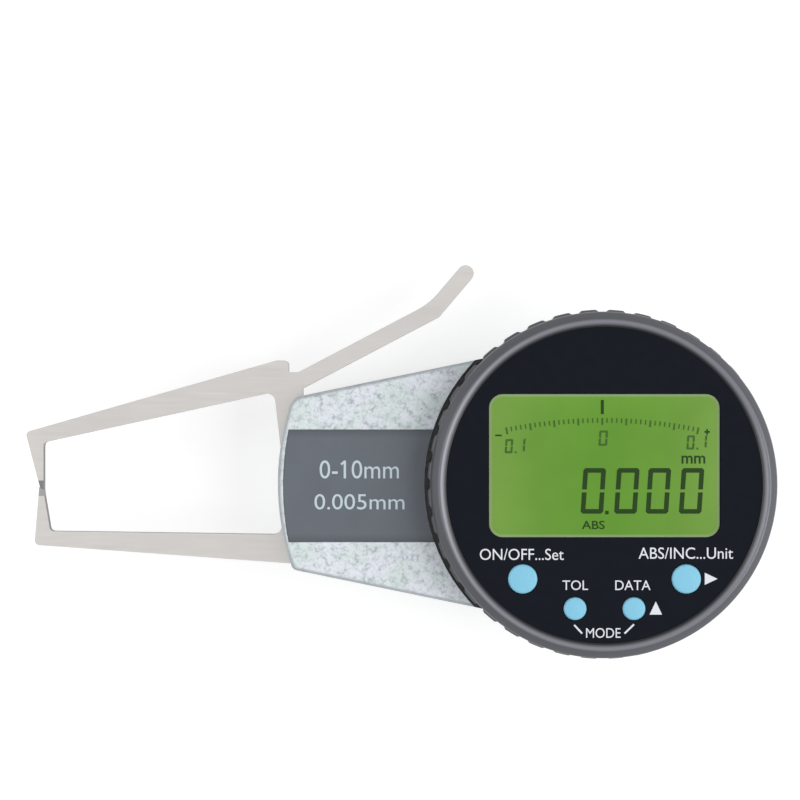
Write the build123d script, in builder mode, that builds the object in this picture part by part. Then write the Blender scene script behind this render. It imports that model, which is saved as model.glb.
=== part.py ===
from build123d import *
from math import acos, cos, pi, radians, sin, tan
import os

os.makedirs("parts", exist_ok=True)

# A digital outside diameter gauge that lies on its back. All sizes are in
# millimetres. The origin is where the dial's axis meets the plane that the
# gauge rests on. +Z is up, out of the dial's face, and the arms run along -X.

# Driving sizes of the rear cover and the body casting
cover_thickness = 1.6
wall = 2.2  # side walls of the neck and the pan
front_wall = 2.5  # the neck's front wall
pivot_inset = 6.9  # arm pivot to the middle of the neck's front end
neck_end_radius = 44.0  # bulge of the front end
neck_end_width = 28.7
neck_taper = 11.65  # degrees on each side
upper_corner_radius = 2.6
lower_corner_radius = 1.2
front_edge_radius = 1.0
rear_edge_chamfer = 0.4
bezel_overhang = 2.5  # the bezel's, over the round pan under the dial
recess_depth = 0.8  # round recess that the bezel sinks into
spigot_wall = 1.6  # of the round spigot that the bezel turns on
boss_radius = 2.6
ear_radius = 3.0
ear_turns = (40, 115, 245, 320)
pan_boss_turns = (77, 283)
neck_boss_setback = 18.0  # behind the neck's front end

# Driving sizes of the arms, both cut from plate
arm_thickness = 2.0
plate_gap = 2.3  # between the main plate and the arms
movement_gap = 2.0  # between the arms and the casting's roof
arm_clearance = 0.3  # above and below the arms in the casting's slot
slot_depth = 4.7  # of the sawn slot across the neck's front end
arm_reach = 41.35  # neck's front end to the contacts
contact_line = -0.95  # height of the contact point beside the dial's axis
contact_gap = 0.02  # left between the closed contacts
contact_slant = 0.4  # rise of the contact faces over the tip's width
contact_length = 1.35  # of the hard inserts
tip_width = 0.94
tip_heel = 2.95  # the moving arm's outer corner, past the contact
tip_corner_radius = 0.8
moving_inner_height = 7.06  # inner corner at the tip
moving_outer_height = 8.85
moving_root_inner = 1.55  # root's inner corner, beyond the neck's corner
moving_root_outer = 7.05
root_overhang = 0.85  # the root's inner edge stands clear of the neck's end
throat_radius = 1.5
shoulder_width = 1.7  # hump over the root
lever_seat = 5.0  # beyond the neck's corner
root_width = 5.05
fixed_heel_height = 9.85  # below the contact line
fixed_heel = 1.3
fixed_inner_height = 7.5  # below the contact line
fixed_tip_chamfer = 0.9
fixed_edge_outer = 9.9  # below the contact line
fixed_root_margin = 0.2  # inside the neck's corner
fixed_root_width = 5.1
fixed_root_step = 2.0
lever_width = 2.9
lever_steps = [(3.4, 3.38), (27.1, 15.8), (32.6, 22.25)]  # from the neck's corner
lever_bend_radius = 12.0

# Driving sizes of the arm pivot
pivot_pin_radius = 1.5
pivot_bush_radius = 2.4
pivot_flange_radius = 3.4
hub_radius = 6.0
opening_angle = 12.0  # degrees for the full 10 mm between the contacts

# Driving sizes of the label band
label_width = 19.5
label_middle = -0.35  # its middle, beside the dial's axis
label_recess = 0.5
label_thickness = 0.4
label_end_radius = 50.0
label_margin = 0.95  # light strip between the label and the front end

# Driving sizes of the bezel and the display in it
board_gap = 2.5  # between the stator board and the display board
panel_side = 7.45  # between the window and the bezel's lip
lip_width = 2.05  # the bezel's front lip, bright at its inner edge
front_ring_height = 4.2
front_ring_step = 0.8  # from the smooth front ring out to the flutes
skirt_wall = 3.91
flute_count = 40
flute_radius = 1.3
flute_depth = 0.55
bezel_chamfer = 0.35
panel_thickness = 1.4
panel_setback = 0.7  # bezel's front edge to the panel's face
ledge_thickness = 1.2
bezel_gap = 0.5  # round the bezel, in the casting's recess
bezel_lift = 0.3  # under the bezel
snap_ring_height = 0.7
snap_ring_depth = 0.7  # in the spigot, and as deep again in the bezel
snap_ring_opening = 3.0
frame_thickness = 2.0
frame_floor = 0.8
board_thickness = 1.2
window_width = 39.4
window_height = 24.5
window_middle = 3.3
window_corner = 2.4
display_margin = 0.8  # display glass that is hidden under the panel
display_setback = 0.3
strip_inset = 1.4
strip_width = 1.6
large_key_radius = 2.5
small_key_radius = 1.95
large_key_inset = 5.993  # from the bezel's lip to the key's middle
large_key_turn = -48.93
small_key_inset = 5.563
small_key_turn = -76.6
key_flange = 0.35
key_flange_thickness = 0.8
key_proud = 0.4  # above the panel
key_edge_radius = 0.35
key_travel = 0.4

# Driving sizes of the movement
plate_thickness = 1.2
plate_inset = 0.5  # between the main plate and the casting's walls
gear_module = 0.5
pressure_angle = 25.0
sector_teeth = 184  # of the full circle that the sector is cut from
pinion_teeth = 12
backlash = 0.08
addendum = 0.45
dedendum = 0.575
sector_thickness = 1.2
sector_width = 15.0
tail_overlap = 5.0  # moving arm's tail, past the rivets
rotor_radius = 14.0
rotor_thickness = 0.8
arbor_radius = 0.75
arbor_bush_radius = 2.0
arbor_flange_radius = 2.8
rivet_radius = 1.0
rivet_head_radius = 1.6
rivet_head_height = 0.5
rivet_inset = 4.575  # from the sector's inner edge
rivet_turn = 7.0  # degrees from the sector's ends
spring_wire = 0.3
spring_radius = 1.0
spring_reach = 20.0  # pivot to the spring's pin
spring_anchor_radius = 0.8
spring_turn = 6.0  # degrees of the spring's pin about the pivot
spring_post_margin = 2.6  # between the post and the main plate's edge

# Driving sizes of the chip, the connectors and the ribbon between the boards
chip_x = -17.0
chip_width = 7.0
chip_height = 0.9
stator_connector_x = 13.5
display_connector_x = -5.0
connector_length = 5.0
connector_width = 2.4
connector_height = 1.1
ribbon_half_turns = 3
ribbon_thickness = 0.15

# Driving sizes of the battery and its bayonet cap
battery_x = -17.0  # in the neck, clear of the dial's axis
battery_radius = 10.0
battery_thickness = 3.2
battery_level = 2.25  # rest plane to the cell
battery_contact_height = 0.15
holder_wall = 1.4
holder_roof = 0.4
holder_ear_reach = 15.0
cap_radius = 12.0
cap_lift = 0.1  # rest plane to the cap
cap_thickness = 1.4
cap_turn = 45.0  # degrees from locked to free
lug_angle = 36.0
lug_reach = 1.3
lug_thickness = 0.6
notch_ease = 6.0  # degrees that the cover's notches are wider than the lugs
coin_slot_length = 15.0
coin_slot_width = 1.8
coin_slot_depth = 0.8
cap_seal_wire = 0.6

# Driving sizes of the data port
port_width = 9.0
port_height = 4.2
port_depth = 6.4
port_wall = 0.8
port_land_proud = 0.5  # flat land round the port, beyond the pan
port_rim = 2.2  # land round the port's cover plug
socket_setback = 2.0  # behind the land
plug_flange = 0.9
plug_corner = 1.2
plug_edge = 0.4

# Fits
running_gap = 0.04  # radial, round turning pins
bezel_fit = 0.09  # radial, between the spigot and the bezel
slip_gap = 0.1  # round pieces that drop in, press down or slide
end_gap = 0.1  # between turning pieces, end to end

# Fasteners
screw_radius = 1.0
screw_head_radius = 1.9
screw_head_height = 1.1
screw_grip = 2.8  # thread in the casting
arm_screw_radius = 1.25
arm_head_radius = 2.2
arm_head_height = 1.3
arm_screw_pitch = 5.0
spacer_wall = 1.1
display_screw_radius = 0.8
display_head_radius = 1.3
display_head_height = 0.7
display_screw_inset = 2.0  # inside the display frame's edge
display_screw_margin = 4.6  # above and below the window

# Levels above the rest plane that follow from the driving sizes, from the
# rear cover up to the bezel
battery_front = battery_level + battery_thickness
contact_top = battery_front + battery_contact_height
plate_level = contact_top + holder_roof
plate_front = plate_level + plate_thickness
arm_rear = plate_front + plate_gap
arm_front = arm_rear + arm_thickness
roof = arm_front + movement_gap
body_height = roof + front_wall
recess_floor = body_height - recess_depth
sector_rear = arm_rear - sector_thickness
stator_front = roof + board_thickness
rotor_front = roof - 4 * end_gap
rotor_rear = rotor_front - rotor_thickness
spring_level = (plate_front + arm_rear) / 2
board_rear = stator_front + board_gap
frame_rear = board_rear + board_thickness
panel_rear = frame_rear + frame_thickness
panel_front = panel_rear + panel_thickness
dial_height = panel_front + panel_setback
ledge_rear = panel_rear - ledge_thickness
bezel_rear = recess_floor + bezel_lift
spigot_top = ledge_rear - bezel_lift
key_flange_front = panel_rear - 1.5 * end_gap
key_rear = key_flange_front - key_flange_thickness
port_floor = plate_front
port_middle_level = port_floor + port_height / 2

# Radii and places that follow from the driving sizes
lip_radius = window_width / 2 + panel_side
front_ring_radius = lip_radius + lip_width
bezel_radius = front_ring_radius + front_ring_step
skirt_bore = bezel_radius - skirt_wall
spigot_radius = skirt_bore - bezel_fit
pan_radius = bezel_radius - bezel_overhang
port_land = pan_radius + port_land_proud
large_key_place = (
    (lip_radius - large_key_inset) * cos(radians(large_key_turn)),
    (lip_radius - large_key_inset) * sin(radians(large_key_turn)),
)
small_key_place = (
    (lip_radius - small_key_inset) * cos(radians(small_key_turn)),
    (lip_radius - small_key_inset) * sin(radians(small_key_turn)),
)
pan_bore = pan_radius - wall
spigot_bore = spigot_radius - spigot_wall
ledge_bore = spigot_bore + 2 * slip_gap
frame_radius = spigot_bore - slip_gap
sector_pitch_radius = gear_module * sector_teeth / 2
pinion_pitch_radius = gear_module * pinion_teeth / 2
pivot_reach = sector_pitch_radius + pinion_pitch_radius
pivot = (-pivot_reach, 0)
neck_end = pivot_reach + pivot_inset
end_x = -neck_end
tip_x = end_x - arm_reach
neck_corner = neck_end_width / 2
rivet_reach = sector_pitch_radius - dedendum - sector_width + rivet_inset
tail_reach = rivet_reach + tail_overlap
tooth_angle = 360 / sector_teeth
sector_first_tooth = -2
sector_last_tooth = int(opening_angle / tooth_angle) + 2
sector_start = (sector_first_tooth - 0.5) * tooth_angle
sector_end = (sector_last_tooth + 0.5) * tooth_angle


def neck_half_width(x):
    """Half the neck's width at this place along it."""
    return neck_end_width / 2 + (x + neck_end) * tan(radians(neck_taper))


def around(radius, angle, middle=(0, 0)):
    """The point at this radius and angle, in degrees, about a middle."""
    turn = radians(angle)
    return middle[0] + radius * cos(turn), middle[1] + radius * sin(turn)


# Ears in the pan carry the main plate and the stator board. Bosses carry the
# rear cover: two against the neck's side walls and two against the pan's
ear_places = [around(spigot_bore - screw_head_radius - 2 * slip_gap, turn) for turn in ear_turns]
ear_root_places = [around(pan_bore - slip_gap, turn) for turn in ear_turns]
neck_boss_x = end_x + neck_boss_setback
neck_boss_y = neck_half_width(neck_boss_x) - wall - 0.65 * boss_radius
pan_boss_places = [around(pan_bore - 0.8 * boss_radius, turn) for turn in pan_boss_turns]
boss_places = [(neck_boss_x, neck_boss_y), (neck_boss_x, -neck_boss_y)] + pan_boss_places
arm_screw_y = wall + arm_head_radius - neck_corner
arm_screw_x = end_x + slot_depth + arm_head_radius
arm_screw_places = [(arm_screw_x, arm_screw_y), (arm_screw_x + arm_screw_pitch, arm_screw_y)]
display_screw_places = [
    (display_screw_inset - frame_radius, window_middle),
    (frame_radius - display_screw_inset, window_middle),
    (0, window_middle + window_height / 2 + display_screw_margin),
    (0, window_middle - window_height / 2 - display_screw_margin),
]
spring_pin_place = around(spring_reach, spring_turn, pivot)
spring_post_place = (
    spring_pin_place[0],
    neck_half_width(spring_pin_place[0]) - wall - plate_inset - spring_post_margin,
)
rivet_places = [
    around(rivet_reach, sector_start + rivet_turn, pivot),
    around(rivet_reach, sector_end - rivet_turn, pivot),
]
battery_place = (battery_x, 0)
holder_screw_places = [(battery_x, holder_ear_reach), (battery_x, -holder_ear_reach)]


def draw_neck():
    """The tapered neck, from its bulged front end to behind the dial."""
    front_x = end_x - wall / 2
    back_x = -spigot_bore / 2
    Polygon(
        (front_x, -neck_half_width(front_x)),
        (back_x, -neck_half_width(back_x)),
        (back_x, neck_half_width(back_x)),
        (front_x, neck_half_width(front_x)),
        align=None,
    )
    with Locations((end_x + neck_end_radius, 0)):
        Circle(neck_end_radius, mode=Mode.INTERSECT)
    round_corner((end_x, neck_corner), upper_corner_radius)
    round_corner((end_x, -neck_corner), lower_corner_radius)


def draw_body(inset=0.0):
    """The outline of neck and pan together, drawn inwards by an inset."""
    draw_neck()
    Circle(pan_radius)
    if inset:
        offset(amount=-inset, kind=Kind.INTERSECTION, mode=Mode.REPLACE)


def round_corner(place, radius):
    """Rounds the corner of the sketch at hand that is nearest to a place."""
    fillet(vertices().sort_by_distance(place)[0], radius=radius)


def draw_label(gap=0.0):
    """The label band, from near the neck's front end to the bezel's recess."""
    length = neck_end - label_margin - gap
    with Locations((-length / 2, label_middle)):
        Rectangle(length, label_width - 2 * gap)
    with Locations((-length + label_end_radius, label_middle)):
        Circle(label_end_radius, mode=Mode.INTERSECT)
    Circle(bezel_radius + bezel_gap + gap, mode=Mode.SUBTRACT)


def draw_window(gap=0.0, mode=Mode.ADD):
    """The display's window in the front panel, drawn inwards by a gap."""
    with Locations((0, window_middle)):
        RectangleRounded(
            window_width - 2 * gap,
            window_height - 2 * gap,
            window_corner - gap,
            mode=mode,
        )


def posts(places, radius, bottom, top, mode=Mode.ADD):
    """Upright round posts or holes of one radius, between two levels."""
    with BuildSketch(Plane.XY.offset(bottom)) as circles:
        with Locations(*places):
            Circle(radius)
    extrude(circles.sketch, amount=top - bottom, mode=mode)


def ring(outer, inner, bottom, top, mode=Mode.ADD, middle=(0, 0)):
    """A flat ring between two levels, round the dial's axis or another middle."""
    with BuildSketch(Plane.XY.offset(bottom)) as annulus:
        with Locations(middle):
            Circle(outer)
            Circle(inner, mode=Mode.SUBTRACT)
    extrude(annulus.sketch, amount=top - bottom, mode=mode)


def draw_sector(radius, turn, spread, middle=(0, 0)):
    """A slice of a disc about a middle, centred on a turn, both in degrees."""
    first = around(radius, turn - spread / 2, middle)
    last = around(radius, turn + spread / 2, middle)
    with BuildLine() as outline:
        Line(middle, first)
        ThreePointArc(first, around(radius, turn, middle), last)
        Line(last, middle)
    make_face(outline.edges())


def half_tooth_angle(teeth, radius):
    """Half the angle that a tooth spans at a radius, on involute flanks."""
    pitch_radius = gear_module * teeth / 2
    pressure = radians(pressure_angle)
    roll = acos(min(1, pitch_radius * cos(pressure) / radius))
    at_pitch = (pi * gear_module - backlash) / (4 * pitch_radius)
    return (at_pitch + tan(pressure) - pressure - tan(roll) + roll) * 180 / pi


def draw_teeth(teeth, turns):
    """Gear teeth about the sketch's origin, each at its turn in degrees."""
    pitch_radius = gear_module * teeth / 2
    base_radius = pitch_radius * cos(radians(pressure_angle))
    root_radius = pitch_radius - dedendum
    flank_start = max(root_radius, base_radius)
    flank_end = pitch_radius + addendum
    flank_middle = (flank_start + flank_end) / 2
    for turn in turns:
        sides = []
        for side in (-1, 1):
            flank = [
                around(radius, turn + side * half_tooth_angle(teeth, radius))
                for radius in (flank_start, flank_middle, flank_end)
            ]
            foot = around(root_radius - dedendum, turn + side * half_tooth_angle(teeth, flank_start))
            sides.append((foot, flank))
        (foot, flank), (far_foot, far_flank) = sides
        with BuildLine() as tooth:
            Line(foot, flank[0])
            ThreePointArc(*flank)
            ThreePointArc(flank[2], around(flank_end, turn), far_flank[2])
            ThreePointArc(far_flank[2], far_flank[1], far_flank[0])
            Line(far_flank[0], far_foot)
            Line(far_foot, foot)
        make_face(tooth.edges())


def finish(builder, name):
    """Names a finished piece and writes it to its own file."""
    builder.part.label = name
    export_step(builder.part, f"parts/{name}.step")


# Body casting: tapered neck with a boxed hollow, and the round pan with the
# spigot that the bezel turns on
with BuildPart() as body_casting:
    with BuildSketch(Plane.XY.offset(cover_thickness)):
        draw_neck()
    extrude(amount=body_height - cover_thickness)
    fillet(
        faces().sort_by(Axis.Z)[-1].edges().sort_by(Axis.X)[:-1],
        radius=min(front_edge_radius, 0.8 * lower_corner_radius),
    )
    posts([(0, 0)], pan_radius, cover_thickness, recess_floor)
    # Flat land round the data port
    land_width = port_width + 2 * port_rim
    with BuildSketch(Plane.XY.offset(port_floor - port_rim)):
        with Locations((port_land / 2, 0)):
            Rectangle(port_land, land_width)
    extrude(amount=port_height + 2 * port_rim)
    # Recesses for the bezel and for the label, and the bezel's spigot
    posts([(0, 0)], bezel_radius + bezel_gap, recess_floor, body_height, Mode.SUBTRACT)
    with BuildSketch(Plane.XY.offset(body_height - label_recess)):
        draw_label()
    extrude(amount=label_recess, mode=Mode.SUBTRACT)
    posts([(0, 0)], spigot_radius, recess_floor, spigot_top)
    groove_rear = (bezel_rear + spigot_top - snap_ring_height) / 2 - end_gap / 2
    ring(
        spigot_radius + snap_ring_depth,
        spigot_radius - snap_ring_depth,
        groove_rear,
        groove_rear + snap_ring_height + end_gap,
        Mode.SUBTRACT,
    )
    # Hollow, open at the back, and the bore through the spigot
    with BuildSketch(Plane.XY.offset(cover_thickness)):
        draw_body(wall)
    extrude(amount=roof - cover_thickness, mode=Mode.SUBTRACT)
    posts([(0, 0)], spigot_bore, roof, spigot_top, Mode.SUBTRACT)
    # Ears, bosses, the fixed arm's pad and the pivot boss
    posts(ear_places, ear_radius, plate_front, roof)
    posts(ear_root_places, pan_radius - pan_bore - 2 * slip_gap, plate_front, roof)
    for near, far in zip(ear_places, ear_root_places):
        posts([((near[0] + far[0]) / 2, (near[1] + far[1]) / 2)], ear_radius, plate_front, roof)
    posts(boss_places, boss_radius, cover_thickness, roof)
    pad_length = arm_screw_places[1][0] - arm_screw_places[0][0] + 2 * arm_head_radius
    pad_top = arm_screw_y + arm_head_radius
    pad_height = neck_corner - wall / 2 + pad_top
    with BuildSketch(Plane.XY.offset(arm_front)):
        with Locations((arm_screw_places[0][0] + pad_length / 2 - arm_head_radius, pad_top - pad_height / 2)):
            Rectangle(pad_length, pad_height)
    extrude(amount=roof - arm_front)
    boss_rear = arm_front + 4 * end_gap
    posts([pivot], pivot_bush_radius + wall - slip_gap, boss_rear, roof)
    # Sawn slot for the arms, and the gap in the upper side wall that the
    # moving arm's root swings in
    with BuildSketch(Plane.XY.offset(arm_rear - arm_clearance)):
        with Locations((end_x + slot_depth / 2 - wall / 2, 0)):
            Rectangle(slot_depth + wall, 2 * neck_end_width)
        swing_room = pivot_inset + pivot_pin_radius
        with Locations((end_x + swing_room / 2, neck_corner)):
            Rectangle(swing_room, 3 * wall)
    extrude(amount=arm_thickness + 2 * arm_clearance, mode=Mode.SUBTRACT)
    # Holes for the pivot bush, the screws and the data port
    bush_top = roof + 0.45 * front_wall
    posts([pivot], pivot_bush_radius, boss_rear, bush_top, Mode.SUBTRACT)
    posts(arm_screw_places, arm_screw_radius, arm_front, arm_front + screw_grip, Mode.SUBTRACT)
    posts(ear_places, screw_radius, plate_front, plate_front + screw_grip, Mode.SUBTRACT)
    posts(ear_places, screw_radius, roof - screw_grip, roof, Mode.SUBTRACT)
    posts(boss_places, screw_radius, cover_thickness, cover_thickness + 1.6 * screw_grip, Mode.SUBTRACT)
    window_gap = 2 * slip_gap
    with BuildSketch(Plane.XY.offset(port_floor - window_gap)):
        with Locations((port_land, 0)):
            Rectangle(4 * wall, port_width + 2 * window_gap)
    extrude(amount=port_height + 2 * window_gap, mode=Mode.SUBTRACT)
finish(body_casting, "body_casting")

# Rear cover with the battery cap's hole, its bayonet notches and countersinks
with BuildPart() as rear_cover:
    with BuildSketch():
        draw_body()
    extrude(amount=cover_thickness)
    chamfer(faces().sort_by(Axis.Z)[0].edges(), length=rear_edge_chamfer)
    posts([battery_place], cap_radius + slip_gap, 0, cover_thickness, Mode.SUBTRACT)
    with BuildSketch():
        for side in (0, 180):
            notch_radius = cap_radius + lug_reach + 2 * slip_gap
            draw_sector(notch_radius, side - cap_turn, lug_angle + notch_ease, battery_place)
    extrude(amount=cover_thickness, mode=Mode.SUBTRACT)
    with Locations(*[Location((x, y, 0), (180, 0, 0)) for x, y in boss_places]):
        CounterSinkHole(screw_radius, screw_head_radius + slip_gap, cover_thickness)
finish(rear_cover, "rear_cover")

# Countersunk screws that hold the rear cover
with BuildPart() as rear_cover_screws:
    head_height = screw_head_radius - screw_radius
    with Locations(*[(x, y, slip_gap) for x, y in boss_places]):
        Cone(screw_head_radius, screw_radius, head_height, align=(Align.CENTER, Align.CENTER, Align.MIN))
        Cylinder(
            screw_radius,
            cover_thickness + 1.5 * screw_grip,
            align=(Align.CENTER, Align.CENTER, Align.MIN),
        )
        for turn in (0, 90):
            Box(
                2.2 * screw_radius,
                0.5 * screw_radius,
                1.2 * screw_radius,
                rotation=(0, 0, turn),
                mode=Mode.SUBTRACT,
            )
finish(rear_cover_screws, "rear_cover_screws")

# Label plate in its recess on the neck
with BuildPart() as label_plate:
    with BuildSketch(Plane.XY.offset(body_height - label_recess)):
        draw_label(slip_gap)
    extrude(amount=label_thickness)
finish(label_plate, "label_plate")

# Moving arm: measuring arm, hub, sector tail and thumb lever in one plate
tip_left = tip_x - 0.78 * tip_width
tip_right = tip_x + 0.22 * tip_width
insert_top = contact_line + contact_length
root_inner = end_x - root_overhang
root_outer = root_inner + root_width
with BuildPart() as moving_arm:
    with BuildSketch(Plane.XY.offset(arm_rear)):
        Polygon(
            (tip_left, insert_top),
            (tip_right, insert_top),
            (tip_right, moving_inner_height),
            (root_inner, neck_corner + moving_root_inner),
            (-pivot_reach - hub_radius, hub_radius / 8),
            pivot,
            (-pivot_reach + hub_radius / 2, 0.8 * hub_radius),
            (root_outer, neck_corner),
            (root_outer, neck_corner + lever_seat),
            (end_x + shoulder_width, neck_corner + lever_seat),
            (end_x + shoulder_width, neck_corner + moving_root_outer),
            (root_inner + root_overhang / 2, neck_corner + moving_root_outer),
            (tip_x - tip_heel, moving_outer_height),
            align=None,
        )
        round_corner((tip_x - tip_heel, moving_outer_height), tip_corner_radius)
        round_corner((tip_right, moving_inner_height), tip_corner_radius)
        round_corner((root_inner, neck_corner + moving_root_inner), throat_radius)
        round_corner((end_x + shoulder_width, neck_corner + moving_root_outer), tip_corner_radius)
        with Locations(pivot):
            Circle(hub_radius)
        lever_line = [(end_x + along, neck_corner + out) for along, out in lever_steps]
        for start, end in zip(lever_line, lever_line[1:]):
            middle = ((start[0] + end[0]) / 2, (start[1] + end[1]) / 2)
            SlotCenterPoint(middle, end, lever_width)
        # Soft inner bend of the lever, where its two runs meet
        (root, bend, thumb_end) = lever_line
        side = (thumb_end[1] - root[1], thumb_end[0] - root[0])
        reach = lever_width / 2 / (side[0] ** 2 + side[1] ** 2) ** 0.5
        round_corner((bend[0] - side[0] * reach, bend[1] + side[1] * reach), lever_bend_radius)
        draw_sector(tail_reach, (sector_start + sector_end) / 2, sector_end - sector_start, pivot)
        with Locations(pivot):
            Circle(pivot_pin_radius, mode=Mode.SUBTRACT)
        with Locations(*rivet_places):
            Circle(rivet_radius, mode=Mode.SUBTRACT)
        with Locations(spring_pin_place):
            Circle(spring_anchor_radius, mode=Mode.SUBTRACT)
    extrude(amount=arm_thickness)
finish(moving_arm, "moving_arm")

# Hard contact inserts. Their faces slant down towards the throat and meet
# with a hair's gap when the gauge is closed
with BuildPart() as moving_contact:
    with BuildSketch(Plane.XY.offset(arm_rear)):
        Polygon(
            (tip_left, insert_top),
            (tip_left + 0.35 * tip_width, contact_line + contact_slant / 2),
            (tip_right, contact_line - contact_slant / 2),
            (tip_right, insert_top),
            align=None,
        )
    extrude(amount=arm_thickness)
finish(moving_contact, "moving_contact")

fixed_left = tip_left + 0.2 * tip_width
insert_floor = contact_line - contact_length
with BuildPart() as fixed_contact:
    with BuildSketch(Plane.XY.offset(arm_rear)):
        Polygon(
            (fixed_left, contact_line + contact_slant / 2 - contact_gap),
            (tip_right, contact_line - contact_slant / 2 - contact_gap),
            (tip_right + 0.1 * contact_length, insert_floor),
            (fixed_left - 0.1 * contact_length, insert_floor),
            align=None,
        )
    extrude(amount=arm_thickness)
finish(fixed_contact, "fixed_contact")

# Fixed arm, clamped inside the neck
inner_line = wall - slip_gap - neck_corner
fixed_root_outer = fixed_root_margin - neck_corner
fixed_root_inner = fixed_root_outer + fixed_root_width
fixed_outer = contact_line - fixed_edge_outer
with BuildPart() as fixed_arm:
    with BuildSketch(Plane.XY.offset(arm_rear)):
        Polygon(
            (fixed_left - 0.1 * contact_length, insert_floor),
            (tip_x - fixed_heel, contact_line - fixed_heel_height + fixed_tip_chamfer),
            (tip_x - fixed_heel, fixed_outer),
            (end_x + 0.6 * slot_depth, fixed_root_outer),
            (end_x + 0.6 * slot_depth, inner_line),
            (arm_screw_places[1][0] + arm_head_radius, inner_line),
            (arm_screw_places[1][0] + arm_head_radius, pad_top),
            (end_x + 0.5 * slot_depth, pad_top),
            (end_x + 0.3 * slot_depth, pad_top + fixed_root_step),
            (end_x + 0.1 * slot_depth, pad_top + fixed_root_step),
            (end_x + 0.1 * slot_depth, fixed_root_inner),
            (tip_x + 1.45 * tip_width, contact_line - fixed_inner_height),
            (tip_right + 0.1 * contact_length, insert_floor),
            align=None,
        )
        round_corner((tip_x - fixed_heel, fixed_outer), tip_corner_radius)
        round_corner((end_x + 0.1 * slot_depth, fixed_root_inner), throat_radius)
        round_corner((tip_x + 1.45 * tip_width, contact_line - fixed_inner_height), tip_corner_radius)
        with Locations(*arm_screw_places):
            Circle(arm_screw_radius + slip_gap, mode=Mode.SUBTRACT)
    extrude(amount=arm_thickness)
finish(fixed_arm, "fixed_arm")

# Screws and spacers that clamp the fixed arm and the main plate's front end
with BuildPart() as fixed_arm_screws:
    posts(arm_screw_places, arm_screw_radius, plate_level, arm_front + screw_grip - slip_gap)
    posts(arm_screw_places, arm_head_radius, plate_level - arm_head_height, plate_level)
    with Locations(*[(x, y, plate_level - arm_head_height) for x, y in arm_screw_places]):
        Box(3.2 * arm_screw_radius, 0.4 * arm_screw_radius, arm_screw_radius, mode=Mode.SUBTRACT)
finish(fixed_arm_screws, "fixed_arm_screws")

with BuildPart() as fixed_arm_spacers:
    bore = arm_screw_radius + slip_gap
    posts(arm_screw_places, bore + spacer_wall, plate_front, arm_rear)
    posts(arm_screw_places, bore, plate_front, arm_rear, Mode.SUBTRACT)
finish(fixed_arm_spacers, "fixed_arm_spacers")

# Main plate of the movement, notched round the cover's bosses
with BuildPart() as main_plate:
    with BuildSketch(Plane.XY.offset(plate_level)):
        draw_body(wall + plate_inset)
        with Locations(*boss_places):
            Circle(boss_radius + plate_inset, mode=Mode.SUBTRACT)
        with Locations(*ear_places):
            Circle(screw_radius + slip_gap, mode=Mode.SUBTRACT)
        with Locations(*arm_screw_places):
            Circle(arm_screw_radius + slip_gap, mode=Mode.SUBTRACT)
        with Locations(pivot):
            Circle(pivot_bush_radius, mode=Mode.SUBTRACT)
        Circle(arbor_bush_radius, mode=Mode.SUBTRACT)
        with Locations(spring_post_place, *holder_screw_places):
            Circle(spring_anchor_radius, mode=Mode.SUBTRACT)
    extrude(amount=plate_thickness)
finish(main_plate, "main_plate")

with BuildPart() as main_plate_screws:
    posts(ear_places, screw_radius, plate_level, plate_front + screw_grip - slip_gap)
    posts(ear_places, screw_head_radius, plate_level - screw_head_height, plate_level)
    with Locations(*[(x, y, plate_level - screw_head_height) for x, y in ear_places]):
        Box(4 * screw_radius, 0.4 * screw_radius, screw_radius, mode=Mode.SUBTRACT)
finish(main_plate_screws, "main_plate_screws")

# Arm pivot: a pin pressed in the moving arm that turns in two bushes
with BuildPart() as pivot_pin:
    posts([pivot], pivot_pin_radius, plate_level + slip_gap, bush_top - slip_gap)
finish(pivot_pin, "pivot_pin")

with BuildPart() as rear_pivot_bush:
    posts([pivot], pivot_bush_radius, plate_level, plate_front)
    posts([pivot], pivot_flange_radius, plate_front, arm_rear - end_gap)
    posts([pivot], pivot_pin_radius + running_gap, plate_level, arm_rear - end_gap, Mode.SUBTRACT)
finish(rear_pivot_bush, "rear_pivot_bush")

with BuildPart() as front_pivot_bush:
    posts([pivot], pivot_bush_radius, arm_front + end_gap, bush_top)
    posts([pivot], pivot_pin_radius + running_gap, arm_front + end_gap, bush_top, Mode.SUBTRACT)
finish(front_pivot_bush, "front_pivot_bush")

# Sector gear, riveted under the moving arm's tail. A tooth stands on the line
# from the pivot to the dial's axis when the gauge is closed
with BuildPart() as sector_gear:
    with BuildSketch(Plane((-pivot_reach, 0, sector_rear))):
        root_radius = sector_pitch_radius - dedendum
        Circle(root_radius)
        Circle(root_radius - sector_width, mode=Mode.SUBTRACT)
        edge = 1.1 * sector_pitch_radius
        Polygon((0, 0), around(edge, sector_start), around(edge, sector_end), align=None, mode=Mode.INTERSECT)
        draw_teeth(
            sector_teeth,
            [tooth * tooth_angle for tooth in range(sector_first_tooth, sector_last_tooth + 1)],
        )
        with Locations(*[(x + pivot_reach, y) for x, y in rivet_places]):
            Circle(rivet_radius, mode=Mode.SUBTRACT)
    extrude(amount=sector_thickness)
finish(sector_gear, "sector_gear")

with BuildPart() as sector_rivets:
    posts(rivet_places, rivet_radius, sector_rear, arm_front)
    posts(rivet_places, rivet_head_radius, sector_rear - rivet_head_height, sector_rear)
    posts(rivet_places, rivet_head_radius, arm_front, arm_front + rivet_head_height)
finish(sector_rivets, "sector_rivets")

# Return spring between a pin in the tail and a post on the main plate
with BuildPart() as spring_pin:
    posts([spring_pin_place], spring_anchor_radius, plate_front + 4 * end_gap, arm_front)
    posts([spring_pin_place], rivet_head_radius, arm_front, arm_front + rivet_head_height)
finish(spring_pin, "spring_pin")

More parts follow.
